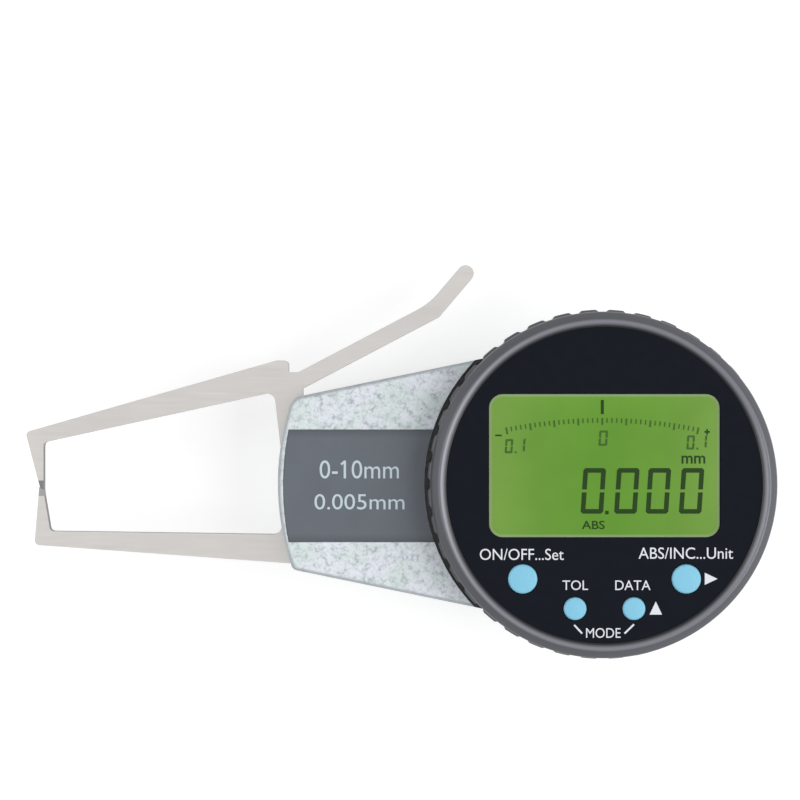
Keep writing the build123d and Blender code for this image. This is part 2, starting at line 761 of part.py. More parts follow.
with BuildPart() as spring_post:
    posts([spring_post_place], spring_anchor_radius, plate_level, arm_rear - slip_gap)
finish(spring_post, "spring_post")

with BuildPart() as return_spring:
    loop_radius = spring_anchor_radius + spring_wire / 2 + slip_gap / 2
    spring_x = spring_pin_place[0]
    coil_start = spring_pin_place[1] + loop_radius
    coil_length = spring_post_place[1] - loop_radius - coil_start
    turns = int(coil_length / spring_wire)
    pitch = coil_length / turns
    half_wire = spring_wire / 2
    core = spring_x + spring_radius - half_wire
    with BuildSketch(Plane.XY.offset(spring_level)):
        with BuildLine():
            for turn in range(turns):
                y = coil_start + turn * pitch
                crest = (core + 0.8 * half_wire, y + pitch / 2)
                ThreePointArc((core, y), crest, (core, y + pitch))
            Polyline(
                (core, coil_start),
                (spring_x, coil_start),
                (spring_x, coil_start + coil_length),
                (core, coil_start + coil_length),
            )
        make_face()
    revolve(axis=Axis((spring_x, 0, spring_level), (0, 1, 0)))
    loop_rear = spring_level - half_wire
    loop_front = spring_level + half_wire
    for place in (spring_pin_place, spring_post_place):
        loop_outer = loop_radius + half_wire
        ring(loop_outer, loop_radius - half_wire, loop_rear, loop_front, middle=place)
finish(return_spring, "return_spring")

# Pinion arbor: pinion, rotor seat and pivots turned and cut from one bar
with BuildPart() as pinion_arbor:
    pinion_rear = sector_rear - 3 * end_gap
    posts([(0, 0)], arbor_radius, plate_level + slip_gap, stator_front + 2 * end_gap)
    half_pitch = 180 / pinion_teeth
    with BuildSketch(Plane.XY.offset(pinion_rear)):
        Circle(pinion_pitch_radius - dedendum)
        draw_teeth(pinion_teeth, [half_pitch * (2 * tooth + 1) for tooth in range(pinion_teeth)])
    extrude(amount=arm_rear + 3 * end_gap - pinion_rear)
    posts([(0, 0)], 1.8 * arbor_radius, arm_rear, rotor_rear)
    posts([(0, 0)], 3 * arbor_radius, rotor_rear - rotor_thickness, rotor_rear)
    posts([(0, 0)], 2 * arbor_radius, rotor_rear, rotor_front)
finish(pinion_arbor, "pinion_arbor")

with BuildPart() as rotor_disc:
    ring(rotor_radius, 2 * arbor_radius, rotor_rear, rotor_front)
finish(rotor_disc, "rotor_disc")

with BuildPart() as rear_arbor_bush:
    bush_bore = arbor_radius + running_gap
    ring(arbor_bush_radius, bush_bore, plate_level, plate_front)
    ring(arbor_flange_radius, bush_bore, plate_front, pinion_rear - end_gap)
finish(rear_arbor_bush, "rear_arbor_bush")

# Stator board over the rotor, with the arbor's front bush and the measuring chip
with BuildPart() as stator_board:
    ring(spigot_bore - 2 * slip_gap, arbor_bush_radius, roof, stator_front)
    posts(ear_places, screw_radius + slip_gap, roof, stator_front, Mode.SUBTRACT)
finish(stator_board, "stator_board")

with BuildPart() as stator_board_screws:
    posts(ear_places, screw_radius, roof - screw_grip + slip_gap, stator_front)
    posts(ear_places, screw_head_radius, stator_front, stator_front + screw_head_height)
    with Locations(*[(x, y, stator_front + screw_head_height) for x, y in ear_places]):
        Box(4 * screw_radius, 0.4 * screw_radius, screw_radius, mode=Mode.SUBTRACT)
finish(stator_board_screws, "stator_board_screws")

with BuildPart() as front_arbor_bush:
    ring(arbor_bush_radius, bush_bore, rotor_front + end_gap, stator_front)
    ring(arbor_flange_radius, bush_bore, stator_front, stator_front + 3 * end_gap)
finish(front_arbor_bush, "front_arbor_bush")

with BuildPart() as stator_connector:
    with BuildSketch(Plane.XY.offset(stator_front)):
        with Locations((stator_connector_x, 0)):
            Rectangle(connector_width, connector_length)
    extrude(amount=connector_height)
finish(stator_connector, "stator_connector")

with BuildPart() as measuring_chip:
    with BuildSketch(Plane.XY.offset(stator_front)):
        with Locations((chip_x, 0)):
            RectangleRounded(chip_width, chip_width, chip_width / 18)
    extrude(amount=chip_height)
finish(measuring_chip, "measuring_chip")

# Coin cell, its holder under the main plate, its contact and the bayonet cap
holder_radius = battery_radius + 2 * slip_gap + holder_wall
holder_rear = cap_lift + cap_thickness + lug_thickness + 5 * end_gap
with BuildPart() as battery:
    posts([battery_place], battery_radius, battery_level + 0.3 * battery_thickness, battery_front)
    posts([battery_place], 0.88 * battery_radius, battery_level, battery_front)
    fillet(edges().filter_by(GeomType.CIRCLE).group_by(Axis.Z)[-1], radius=battery_thickness / 8)
finish(battery, "battery")

with BuildPart() as battery_holder:
    posts([battery_place], holder_radius, holder_rear, plate_level)
    posts(holder_screw_places, screw_head_radius + 3 * slip_gap, plate_level - plate_thickness, plate_level)
    with BuildSketch(Plane.XY.offset(plate_level - plate_thickness)):
        with Locations(battery_place):
            Rectangle(2 * screw_head_radius, 2 * holder_ear_reach)
    extrude(amount=plate_thickness)
    cell_room = battery_radius + 2 * slip_gap
    posts([battery_place], cell_room, holder_rear, plate_level - holder_roof, Mode.SUBTRACT)
    posts(holder_screw_places, spring_anchor_radius, 0, plate_level, Mode.SUBTRACT)
finish(battery_holder, "battery_holder")

with BuildPart() as battery_holder_screws:
    ear_rear = plate_level - plate_thickness
    posts(holder_screw_places, spring_anchor_radius, ear_rear, plate_front)
    posts(holder_screw_places, 2 * spring_anchor_radius, ear_rear - display_head_height, ear_rear)
finish(battery_holder_screws, "battery_holder_screws")

with BuildPart() as battery_contact:
    with BuildSketch(Plane.XY.offset(battery_front)):
        with Locations(battery_place):
            SlotOverall(1.5 * battery_radius, 0.3 * battery_radius)
    extrude(amount=contact_top - battery_front)
finish(battery_contact, "battery_contact")

cap_front = cap_lift + cap_thickness
lug_front = cap_front + lug_thickness + 2.5 * end_gap
with BuildPart() as battery_cap:
    posts([battery_place], cap_radius, cap_lift, lug_front)
    with BuildSketch(Plane.XY.offset(lug_front - lug_thickness)):
        for side in (0, 180):
            draw_sector(cap_radius + lug_reach, side, lug_angle, battery_place)
    extrude(amount=lug_thickness)
    seat_radius = 0.9 * battery_radius
    ring(cap_radius - holder_wall, seat_radius, cap_front, lug_front, Mode.SUBTRACT, battery_place)
    posts([battery_place], seat_radius, battery_level - end_gap, lug_front, Mode.SUBTRACT)
    # Seal groove round the rim and the coin slot across the back
    seal_level = cap_lift + cap_thickness / 2
    ring(
        cap_radius + cap_seal_wire,
        cap_radius - cap_seal_wire,
        seal_level - cap_seal_wire / 2,
        seal_level + cap_seal_wire / 2,
        Mode.SUBTRACT,
        battery_place,
    )
    with BuildSketch(Plane.XY.offset(cap_lift)):
        with Locations(battery_place):
            SlotOverall(coin_slot_length, coin_slot_width)
    extrude(amount=coin_slot_depth, mode=Mode.SUBTRACT)
finish(battery_cap, "battery_cap")

with BuildPart() as battery_cap_seal:
    with Locations((battery_x, 0, seal_level)):
        Torus(cap_radius - cap_seal_wire / 2, 0.48 * cap_seal_wire)
finish(battery_cap_seal, "battery_cap_seal")

# Data port on the main plate's edge, and the plug that covers it
socket_front = port_land - socket_setback
with BuildPart() as data_socket:
    with BuildSketch(Plane.XY.offset(port_floor)):
        with Locations((socket_front - port_depth / 2, 0)):
            Rectangle(port_depth, port_width)
    extrude(amount=port_height)
    mouth_depth = port_depth / 2
    with Locations((socket_front - mouth_depth / 2, 0, port_middle_level)):
        Box(mouth_depth, port_width - 2 * port_wall, port_height - 2 * port_wall, mode=Mode.SUBTRACT)
    with Locations((socket_front - 0.6 * mouth_depth, 0, port_middle_level)):
        Box(0.8 * mouth_depth, port_width - 4 * port_wall, port_wall)
finish(data_socket, "data_socket")

with BuildPart() as port_cover:
    with BuildSketch(Plane.YZ.offset(port_land)):
        with Locations((0, port_middle_level)):
            flange_margin = 1.5 * port_rim
            RectangleRounded(port_width + flange_margin, port_height + flange_margin, plug_corner)
    extrude(amount=plug_flange)
    fillet(faces().sort_by(Axis.X)[-1].edges(), radius=min(plug_edge, plug_flange / 2))
    with BuildSketch(Plane.YZ.offset(port_land)):
        with Locations((0, port_middle_level)):
            RectangleRounded(port_width, port_height, 2 * plug_corner / 3)
    extrude(amount=-(port_land - socket_front - slip_gap))
finish(port_cover, "port_cover")

# Bezel ring: fluted skirt, smooth front ring, lip and the panel's ledge
with BuildPart() as bezel_ring:
    flute_front = dial_height - front_ring_height
    with BuildSketch(Plane.XZ):
        with BuildLine():
            Polyline(
                (skirt_bore, bezel_rear),
                (bezel_radius - bezel_chamfer, bezel_rear),
                (bezel_radius, bezel_rear + bezel_chamfer),
                (bezel_radius, flute_front - bezel_chamfer),
                (bezel_radius - bezel_chamfer, flute_front),
                (front_ring_radius, flute_front),
                (front_ring_radius, dial_height - 2 * bezel_chamfer),
                (lip_radius + lip_width / 2, dial_height),
                (lip_radius, dial_height),
                (lip_radius, panel_rear),
                (ledge_bore, panel_rear),
                (ledge_bore, ledge_rear),
                (skirt_bore, ledge_rear),
                close=True,
            )
        make_face()
    revolve(axis=Axis.Z)
    with BuildSketch(Plane.XY.offset(bezel_rear)):
        with PolarLocations(bezel_radius - flute_depth + flute_radius, flute_count):
            Circle(flute_radius)
    extrude(amount=flute_front - bezel_rear, mode=Mode.SUBTRACT)
    ring(
        skirt_bore + snap_ring_depth,
        spigot_radius,
        groove_rear,
        groove_rear + snap_ring_height + end_gap,
        Mode.SUBTRACT,
    )
finish(bezel_ring, "bezel_ring")

# Split ring that keeps the bezel on the spigot
with BuildPart() as head_snap_ring:
    snap_rear = groove_rear + end_gap / 2
    snap_inner = spigot_radius - snap_ring_depth + slip_gap / 2
    snap_outer = skirt_bore + snap_ring_depth - slip_gap
    ring(snap_outer, snap_inner, snap_rear, snap_rear + snap_ring_height)
    with Locations((0, -spigot_radius, snap_rear)):
        Box(snap_ring_opening, spigot_wall * 2, 3 * snap_ring_height, mode=Mode.SUBTRACT)
finish(head_snap_ring, "head_snap_ring")

# Front panel with the display window and the keys' holes
large_keys = [(-large_key_place[0], large_key_place[1]), large_key_place]
small_keys = [(-small_key_place[0], small_key_place[1]), small_key_place]
with BuildPart() as front_panel:
    with BuildSketch(Plane.XY.offset(panel_rear)):
        Circle(lip_radius - slip_gap / 2)
        draw_window(mode=Mode.SUBTRACT)
        with Locations(*large_keys):
            Circle(large_key_radius + slip_gap, mode=Mode.SUBTRACT)
        with Locations(*small_keys):
            Circle(small_key_radius + slip_gap, mode=Mode.SUBTRACT)
    extrude(amount=panel_thickness)
finish(front_panel, "front_panel")

# Display frame: moulded tray that holds the display and the keys' flanges
display_floor = frame_rear + frame_floor
glass_width = window_width + 2 * display_margin
glass_height = window_height + 2 * display_margin
strip_places = [
    (0, window_middle + glass_height / 2 - strip_inset),
    (0, window_middle - glass_height / 2 + strip_inset),
]
strip_size = (0.85 * window_width, strip_width)
with BuildPart() as display_frame:
    posts([(0, 0)], frame_radius, frame_rear, panel_rear)
    with BuildSketch(Plane.XY.offset(display_floor)):
        with Locations((0, window_middle)):
            Rectangle(glass_width + 2 * slip_gap, glass_height + 2 * slip_gap)
    extrude(amount=panel_rear - display_floor, mode=Mode.SUBTRACT)
    with BuildSketch(Plane.XY.offset(frame_rear)):
        with Locations(*strip_places):
            Rectangle(strip_size[0] + 2 * slip_gap, strip_size[1] + 2 * slip_gap)
    extrude(amount=frame_floor, mode=Mode.SUBTRACT)
    large_pocket = large_key_radius + key_flange + slip_gap
    small_pocket = small_key_radius + key_flange + slip_gap
    posts(large_keys, large_pocket, frame_rear, panel_rear, Mode.SUBTRACT)
    posts(small_keys, small_pocket, frame_rear, panel_rear, Mode.SUBTRACT)
    posts(display_screw_places, display_screw_radius, frame_rear, panel_rear - frame_floor / 2, Mode.SUBTRACT)
finish(display_frame, "display_frame")

# Liquid crystal display: a glass plate in the window on a wider rear plate
with BuildPart() as display_glass:
    with BuildSketch(Plane.XY.offset(display_floor)):
        with Locations((0, window_middle)):
            Rectangle(glass_width, glass_height)
        Circle(frame_radius - slip_gap, mode=Mode.INTERSECT)
    extrude(amount=panel_rear - end_gap - display_floor)
    with BuildSketch(Plane.XY.offset(panel_rear - end_gap)):
        draw_window(slip_gap)
    extrude(amount=panel_thickness + end_gap - display_setback)
finish(display_glass, "display_glass")

with BuildPart() as contact_strips:
    with BuildSketch(Plane.XY.offset(frame_rear)):
        with Locations(*strip_places):
            Rectangle(*strip_size)
    extrude(amount=frame_floor)
finish(contact_strips, "contact_strips")

# Display board with its screws, key switches and flex connector
with BuildPart() as display_board:
    posts([(0, 0)], frame_radius - slip_gap, board_rear, frame_rear)
    posts(display_screw_places, display_screw_radius + slip_gap, board_rear, frame_rear, Mode.SUBTRACT)
finish(display_board, "display_board")

with BuildPart() as display_screws:
    posts(display_screw_places, display_screw_radius, board_rear, panel_rear - frame_floor / 2 - slip_gap)
    posts(display_screw_places, display_head_radius, board_rear - display_head_height, board_rear)
finish(display_screws, "display_screws")

with BuildPart() as key_switches:
    switch_front = key_rear - key_travel - end_gap / 2
    posts(large_keys, 0.8 * large_key_radius, frame_rear, switch_front)
    posts(small_keys, 0.8 * small_key_radius, frame_rear, switch_front)
finish(key_switches, "key_switches")

with BuildPart() as display_connector:
    with BuildSketch(Plane.XY.offset(board_rear - connector_height)):
        with Locations((display_connector_x, 0)):
            Rectangle(connector_width, connector_length)
    extrude(amount=connector_height)
finish(display_connector, "display_connector")

# Flexible ribbon that winds between the two boards, so that the bezel can
# turn. It is three half turns whose middles step along X, so that they join
with BuildPart() as display_flex:
    tab_length = connector_width / 4
    ribbon_start = display_connector_x - connector_width / 2 - tab_length
    ribbon_end = stator_connector_x - connector_width / 2 - ribbon_thickness
    growth = (ribbon_end + ribbon_start) / ribbon_half_turns
    with BuildSketch(Plane.XY.offset(board_rear - 1.6 * connector_height)):
        for half_turn in range(ribbon_half_turns):
            side = 1 if half_turn % 2 == 0 else -1
            middle = side * growth / 2
            inner = (half_turn + 0.5) * growth - ribbon_start
            outer = inner + ribbon_thickness
            with BuildLine():
                for reach in (inner, outer):
                    ThreePointArc((middle - reach, 0), (middle, side * reach), (middle + reach, 0))
                Line((middle - outer, 0), (middle - inner, 0))
                Line((middle + inner, 0), (middle + outer, 0))
            make_face()
        with Locations((ribbon_start + tab_length / 2, 0)):
            Rectangle(tab_length, connector_length / 4)
    extrude(amount=1.4 * connector_height)
finish(display_flex, "display_flex")

# Keys: domed caps with a flange that is caught under the panel
key_names = {
    "on_off_key": (large_keys[0], large_key_radius),
    "abs_key": (large_keys[1], large_key_radius),
    "tolerance_key": (small_keys[0], small_key_radius),
    "data_key": (small_keys[1], small_key_radius),
}
for name, (place, radius) in key_names.items():
    with BuildPart() as key:
        posts([place], radius, key_rear, panel_front + key_proud)
        fillet(edges().filter_by(GeomType.CIRCLE).sort_by(Axis.Z)[-1], radius=key_edge_radius)
        posts([place], radius + key_flange, key_rear, key_flange_front)
    finish(key, name)
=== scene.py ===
"""Looks of a digital outside diameter gauge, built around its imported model.

Lengths in the classes are in millimetres. Meshes, lamps and the camera are in metres.
"""

import logging
from dataclasses import dataclass, field
from enum import Enum
from functools import cache
from math import radians

import bmesh
import bpy
import numpy as np
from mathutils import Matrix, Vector


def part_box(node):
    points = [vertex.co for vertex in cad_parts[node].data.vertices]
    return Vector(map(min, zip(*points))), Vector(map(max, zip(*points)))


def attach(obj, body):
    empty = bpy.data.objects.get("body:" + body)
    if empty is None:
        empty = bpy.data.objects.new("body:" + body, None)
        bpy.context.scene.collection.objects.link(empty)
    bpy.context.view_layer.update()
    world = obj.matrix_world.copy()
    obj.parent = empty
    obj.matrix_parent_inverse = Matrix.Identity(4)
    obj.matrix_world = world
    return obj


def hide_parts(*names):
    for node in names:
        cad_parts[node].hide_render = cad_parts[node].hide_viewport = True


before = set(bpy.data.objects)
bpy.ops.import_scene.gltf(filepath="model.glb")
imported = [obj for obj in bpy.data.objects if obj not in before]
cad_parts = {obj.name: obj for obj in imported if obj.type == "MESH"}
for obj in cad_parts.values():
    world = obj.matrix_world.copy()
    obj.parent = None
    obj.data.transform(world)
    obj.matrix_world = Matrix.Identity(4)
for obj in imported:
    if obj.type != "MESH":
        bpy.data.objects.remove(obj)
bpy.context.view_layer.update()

LOG = logging.getLogger("gauge_looks")
MM = 0.001
PHOTO_PIXELS = 800
PRINT_HEIGHT = 0.03  # over what it is printed on
PRINT_SINK = 0.01  # into what it is printed on
CROSSING_RISE = 0.002  # of a stroke over the print that it crosses
WELD = 0.0005  # corners as close as this become one
NOISE_RANGE = (0.3, 0.7)  # most values of a noise lie in it

Colour = tuple[float, float, float, float]
Pair = tuple[float, float]
Box = tuple[float, float, float, float]  # left, right, low and high side
Triple = tuple[float, float, float]
Socket = bpy.types.NodeSocket


class Body(Enum):
    """The rigid bodies that pieces ride on."""

    GAUGE = "gauge_body"
    ARM = "measuring_arm"
    HEAD = "display_head"
    ON_OFF = "on_off_button"
    ABSOLUTE = "abs_button"
    TOLERANCE = "tolerance_button"
    DATA = "data_button"
    LID = "battery_lid"
    PLUG = "port_plug"


class Slot(Enum):
    """The record's material slots."""

    CASTING = "hammertone_paint"
    COVER = "cover_paint"
    LABEL = "label_film"
    ARM_PLATE = "stainless_plate"
    CONTACT = "hard_contact"
    BEZEL = "bezel_polymer"
    PANEL = "panel_acrylic"
    DISPLAY = "display_crystal"
    KEY = "key_polymer"
    SCREW = "screw_steel"
    PIN = "pin_steel"
    SPRING = "spring_steel"
    PLATE = "plate_steel"
    MOVEMENT = "movement_brass"
    BOARD = "board_laminate"
    CHIP = "chip_resin"
    CONNECTOR = "connector_resin"
    RIBBON = "ribbon_film"
    FRAME = "frame_resin"
    STRIP = "strip_rubber"
    PORT = "port_rubber"
    CELL = "cell_steel"
    CAP = "cap_polymer"


class Segment(Enum):
    """The bars of a seven-segment digit that this display lights."""

    TOP = 0
    UPPER_RIGHT = 1
    LOWER_RIGHT = 2
    BOTTOM = 3
    LOWER_LEFT = 4
    UPPER_LEFT = 5


def linear(code: str) -> Colour:
    """Turns an sRGB hex colour into linear light.

    Args:
        code: Six hex digits, two each for red, green and blue.

    Returns:
        Red, green and blue in linear light, and an alpha of one.
    """
    share = np.array([int(code[i : i + 2], 16) for i in (0, 2, 4)]) / 255
    light = np.where(share <= 0.04045, share / 12.92, ((share + 0.055) / 1.055) ** 2.4)
    return (*(float(value) for value in light), 1.0)


def limits(start: float, end: float, most: float = 1.0, least: float = 0.0) -> dict[str, float]:
    """Limits of a share: its least at one value and its most at another."""
    return {"From Min": start, "From Max": end, "To Min": least, "To Max": most}


@dataclass
class Wiring:
    """The nodes of one material or of the sky, and the shader that they feed."""

    tree: bpy.types.NodeTree
    shader: bpy.types.Node

    def feed(self, node: bpy.types.Node, inputs: dict) -> None:
        """Gives a node's inputs what they need.

        Args:
            node: The node.
            inputs: A socket to link in, a hex colour or a plain value, by the
                input's name or number.
        """
        for name, value in inputs.items():
            if isinstance(value, Socket):
                self.tree.links.new(value, node.inputs[name])
            else:
                is_colour = isinstance(value, str)
                node.inputs[name].default_value = linear(value) if is_colour else value

    def add(
        self, kind: str, inputs: dict | None = None, out: str | int = 0, **settings: object
    ) -> Socket:
        """Adds one shader node with its settings, values and links.

        Args:
            kind: The node's type, without its ShaderNode prefix.
            inputs: What its inputs get, as for feed.
            out: The output to give back, by its name or number.
            settings: Attributes of the node itself.

        Returns:
            That output.
        """
        node = self.tree.nodes.new("ShaderNode" + kind)
        for name, value in settings.items():
            setattr(node, name, value)
        self.feed(node, inputs or {})
        return node.outputs[out]

    def space(self, *repeat: float) -> Socket:
        """Object coordinates in which one unit is a given number of millimetres.

        Args:
            repeat: Millimetres that one unit stands for: one number for all
                three axes, or one for each.

        Returns:
            The scaled coordinates.
        """
        sizes = repeat if len(repeat) == 3 else repeat * 3
        scale = tuple(1 / (MM * size) for size in sizes)
        place = self.add("TexCoord", out="Object")
        return self.add("Mapping", {"Vector": place, "Scale": scale})

    def round_axis(self) -> tuple[Socket, Socket]:
        """Where a point lies about the dial's axis.

        Returns:
            Its distance from the axis and its height, in millimetres.
        """
        split = self.add("SeparateXYZ", {0: self.space(1.0)}).node.outputs
        flat = self.add("CombineXYZ", {0: split["X"], 1: split["Y"]})
        return self.add("VectorMath", {0: flat}, "Value", operation="LENGTH"), split["Z"]

    def level(self) -> Socket:
        """How level a face is: one when flat, nought on an upright side."""
        upward = self.add("SeparateXYZ", {0: self.add("NewGeometry", out="Normal")}, "Z")
        return self.add("Math", {0: upward}, operation="ABSOLUTE")

    def lay(
        self, value: Socket, under: Socket | str, over: str, share: dict | None = None
    ) -> Socket:
        """Lays a colour over another, by a share that depends on a value.

        Args:
            value: What the share depends on.
            under: The lower colour, as a socket or a hex code.
            over: The upper colour's hex code.
            share: The share's limits, or none where the value is the share.

        Returns:
            The resulting colour.
        """
        amount = self.add("MapRange", {"Value": value, **(share or {})})
        return self.add("Mix", {0: amount, 6: under, 7: over}, 2, data_type="RGBA")

    def shade(
        self, pattern: Socket, contrast: float, colour: Socket | str, spread: Pair = (0.25, 0.75)
    ) -> Socket:
        """Lightens and darkens a colour by a pattern.

        Args:
            pattern: The pattern, from nought to one.
            contrast: The share by which it lightens or darkens at most.
            colour: The colour, as a socket or a hex code.
            spread: The pattern's values that give the darkest and the lightest.

        Returns:
            The new colour.
        """
        change = limits(*spread, 1 + contrast, 1 - contrast)
        light = self.add("MapRange", {"Value": pattern, **change})
        return self.add("HueSaturation", {"Value": light, "Color": colour})

    def surface(self, colour: Socket, height: Socket, depth: float) -> None:
        """Gives the shader its colour, and lets a height pattern tilt the surface.

        Args:
            colour: The colour.
            height: The pattern, from nought to one.
            depth: Millimetres from the pattern's lowest to its highest point.
        """
        tilt = {"Height": height, "Distance": depth * MM, "Strength": 1.0}
        self.feed(self.shader, {"Base Color": colour, "Normal": self.add("Bump", tilt)})


@dataclass(frozen=True)
class Finish:
    """What every finish has."""

    name: str
    slot: Slot
    colour: str
    roughness: float
    metallic: float = 0.0
    specular: float = 0.5

    def build(self) -> bpy.types.Material:
        """Makes the material with its shader and its pattern.

        Returns:
            The new material.
        """
        material = bpy.data.materials.new(self.name)
        material.use_nodes = True
        material.diffuse_color = linear(self.colour)
        tree = material.node_tree
        nodes = Wiring(tree, tree.nodes["Principled BSDF"])
        even = {
            "Base Color": self.colour,
            "Roughness": self.roughness,
            "Metallic": self.metallic,
            "Specular IOR Level": self.specular,
        }
        nodes.feed(nodes.shader, even)
        self.dress(nodes)
        return material

    def dress(self, nodes: Wiring) -> None:
        """Adds the finish's pattern to the material's nodes."""
        raise NotImplementedError


@dataclass(frozen=True)
class Grained(Finish):
    """Moulded, cast or painted stock: a fine grain in colour and height. A real
    grain is a tenth of a millimetre or less, and it is drawn coarser to show."""

    grain: float = 0.4
    contrast: float = 0.06
    depth: float = 0.004

    def tone(self, nodes: Wiring, noise: Socket) -> Socket:
        """The stock's colour, lighter and darker with its grain."""
        return nodes.shade(noise, self.contrast, self.colour)

    def dress(self, nodes: Wiring) -> None:
        """Adds the grain.

        Args:
            nodes: The material's nodes.
        """
        grain = {"Vector": nodes.space(self.grain), "Scale": 1.0, "Detail": 3.0}
        noise = nodes.add("TexNoise", grain)
        nodes.surface(self.tone(nodes, noise), noise, self.depth)


@dataclass(frozen=True)
class Foil(Grained):
    """A foil label in a shallow recess: a fine grain, clouds some millimetres
    wide, and painted shade from its recess's walls towards its two long edges."""

    # painted shade of the recess walls, laid over the foil near its long edges
    recess_shade: str = "464D53"
    middle: float = -0.35
    half_width: float = 9.7
    fade: float = 1.5
    fade_strength: float = 0.75
    cloud: float = 0.04  # the grain's size as a share of the cloud's

    def tone(self, nodes: Wiring, noise: Socket) -> Socket:
        """The foil's colour.

        Args:
            nodes: The material's nodes.
            noise: The grain.

        Returns:
            The colour with the grain and the clouds, and painted shade at the edges.
        """
        broad = {"Vector": nodes.space(self.grain), "Scale": self.cloud, "Detail": 2.0}
        grained = nodes.shade(noise, self.contrast, self.colour)
        drift = nodes.shade(nodes.add("TexNoise", broad), 2 * self.contrast, grained)
        across = nodes.add("SeparateXYZ", {0: nodes.space(1.0)}, "Y")
        offset = nodes.add("Math", {0: across, 1: self.middle}, operation="SUBTRACT")
        reach = nodes.add("Math", {0: offset}, operation="ABSOLUTE")
        near = limits(self.half_width - self.fade, self.half_width, self.fade_strength)
        # Painted shade darkens the foil near the recess's walls
        return nodes.lay(reach, drift, self.recess_shade, near)


@dataclass(frozen=True)
class Hammertone(Finish):
    """Hammer-effect stoving paint on cast metal: pale blisters a millimetre
    wide, with short dark curls between some of them, a faint drift between blue
    and green, painted shade that greys the paint over edges and sides, and a
    painted shadow that darkens the turned recess under the bezel."""

    seam: str = "A3ACB1"
    tint: str = "DEE9E9"
    # painted shade over faces that lean, between level and upright
    edge_shade: str = "A9B0B6"
    # painted shadow in the turned recess under the bezel
    recess_shadow: str = "1B1C1E"
    cell: float = 1.0
    drift: float = 5.5
    drift_spread: Pair = (0.42, 0.58)
    swirl: float = 0.9  # how far the blisters are pushed about, in cells
    pushing: float = 1.3  # pushes along the length of a cell
    patch: float = 0.75  # patches with curls along the same length
    fleck: float = 2.4  # flecks along it
    fleck_contrast: float = 0.08
    seam_width: Pair = (0.30, 0.02)  # from a seam, in cells
    curl_places: Triple = (0.47, 0.68, 0.9)  # of the patches, and the most
    spot_places: Triple = (0.40, 0.28, 0.5)  # of the flecks, and the most
    edge_lean: Pair = (0.99, 0.8)  # how level a face is where the painted edge shade starts and where it is full
    side_lean: Pair = (0.05, 0.3)  # the same for a side, which gets no painted shade
    edge_shade_strength: float = 0.75
    depth: float = 0.05
    recess_radius: Pair = (30.54, 30.52)
    recess_front: Pair = (15.98, 15.88)
    recess_floor: Pair = (15.14, 15.18)

    def dress(self, nodes: Wiring) -> None:
        """Adds the blisters, the curls, the drift, the painted edge shade and the painted recess
        shadow.

        Args:
            nodes: The material's nodes.
        """
        space = nodes.space(self.cell)
        pushes = {"Vector": space, "Scale": self.pushing, "Detail": 2.0}
        warp = nodes.add("TexNoise", pushes, "Color")
        far = (self.swirl,) * 3
        push = nodes.add("VectorMath", {0: warp, 1: far, 2: space}, operation="MULTIPLY_ADD")
        blister = {"Vector": push, "Scale": 1.0, "Smoothness": 0.5}
        domes = nodes.add("TexVoronoi", blister, feature="SMOOTH_F1")
        seams = nodes.add("TexVoronoi", {"Vector": push, "Scale": 1.0}, feature="DISTANCE_TO_EDGE")
        patches, flecks, broad = (
            nodes.add("TexNoise", {"Vector": vector, "Scale": scale, "Detail": 3.0})
            for vector, scale in (
                (space, self.patch),
                (space, self.fleck),
                (nodes.space(self.drift), 1.0),
            )
        )
        ground = nodes.lay(broad, self.colour, self.tint, limits(*self.drift_spread))
        flecked = nodes.shade(flecks, self.fleck_contrast, ground, NOISE_RANGE)
        lines = nodes.add("MapRange", {"Value": seams, **limits(*self.seam_width)})
        where = nodes.add("MapRange", {"Value": patches, **limits(*self.curl_places)})
        spots = nodes.add("MapRange", {"Value": flecks, **limits(*self.spot_places)})
        curls = nodes.add("Math", {0: lines, 1: where}, operation="MULTIPLY")
        dark = nodes.add("Math", {0: curls, 1: spots}, operation="MAXIMUM")
        curled = nodes.lay(dark, flecked, self.seam)
        # Painted shade greys the paint on faces that lean, between level and upright
        level = nodes.level()
        leaning = nodes.add("MapRange", {"Value": level, **limits(*self.edge_lean)})
        standing = nodes.add("MapRange", {"Value": level, **limits(*self.side_lean)})
        tilted = nodes.add("Math", {0: leaning, 1: standing}, operation="MULTIPLY")
        coat = nodes.lay(tilted, curled, self.edge_shade, limits(0.0, 1.0, self.edge_shade_strength))
        # Painted shadow: dark in the turned recess round the bezel's skirt
        radius, height = nodes.round_axis()
        shadow_band = nodes.add("MapRange", {"Value": radius, **limits(*self.recess_radius)})
        for fade in (self.recess_front, self.recess_floor):
            part = nodes.add("MapRange", {"Value": height, **limits(*fade)})
            shadow_band = nodes.add("Math", {0: shadow_band, 1: part}, operation="MULTIPLY")
        relief = nodes.add("Math", {0: -1.0, 1: domes, 2: flecks}, operation="MULTIPLY_ADD")
        nodes.surface(nodes.lay(shadow_band, coat, self.recess_shadow), relief, self.depth)


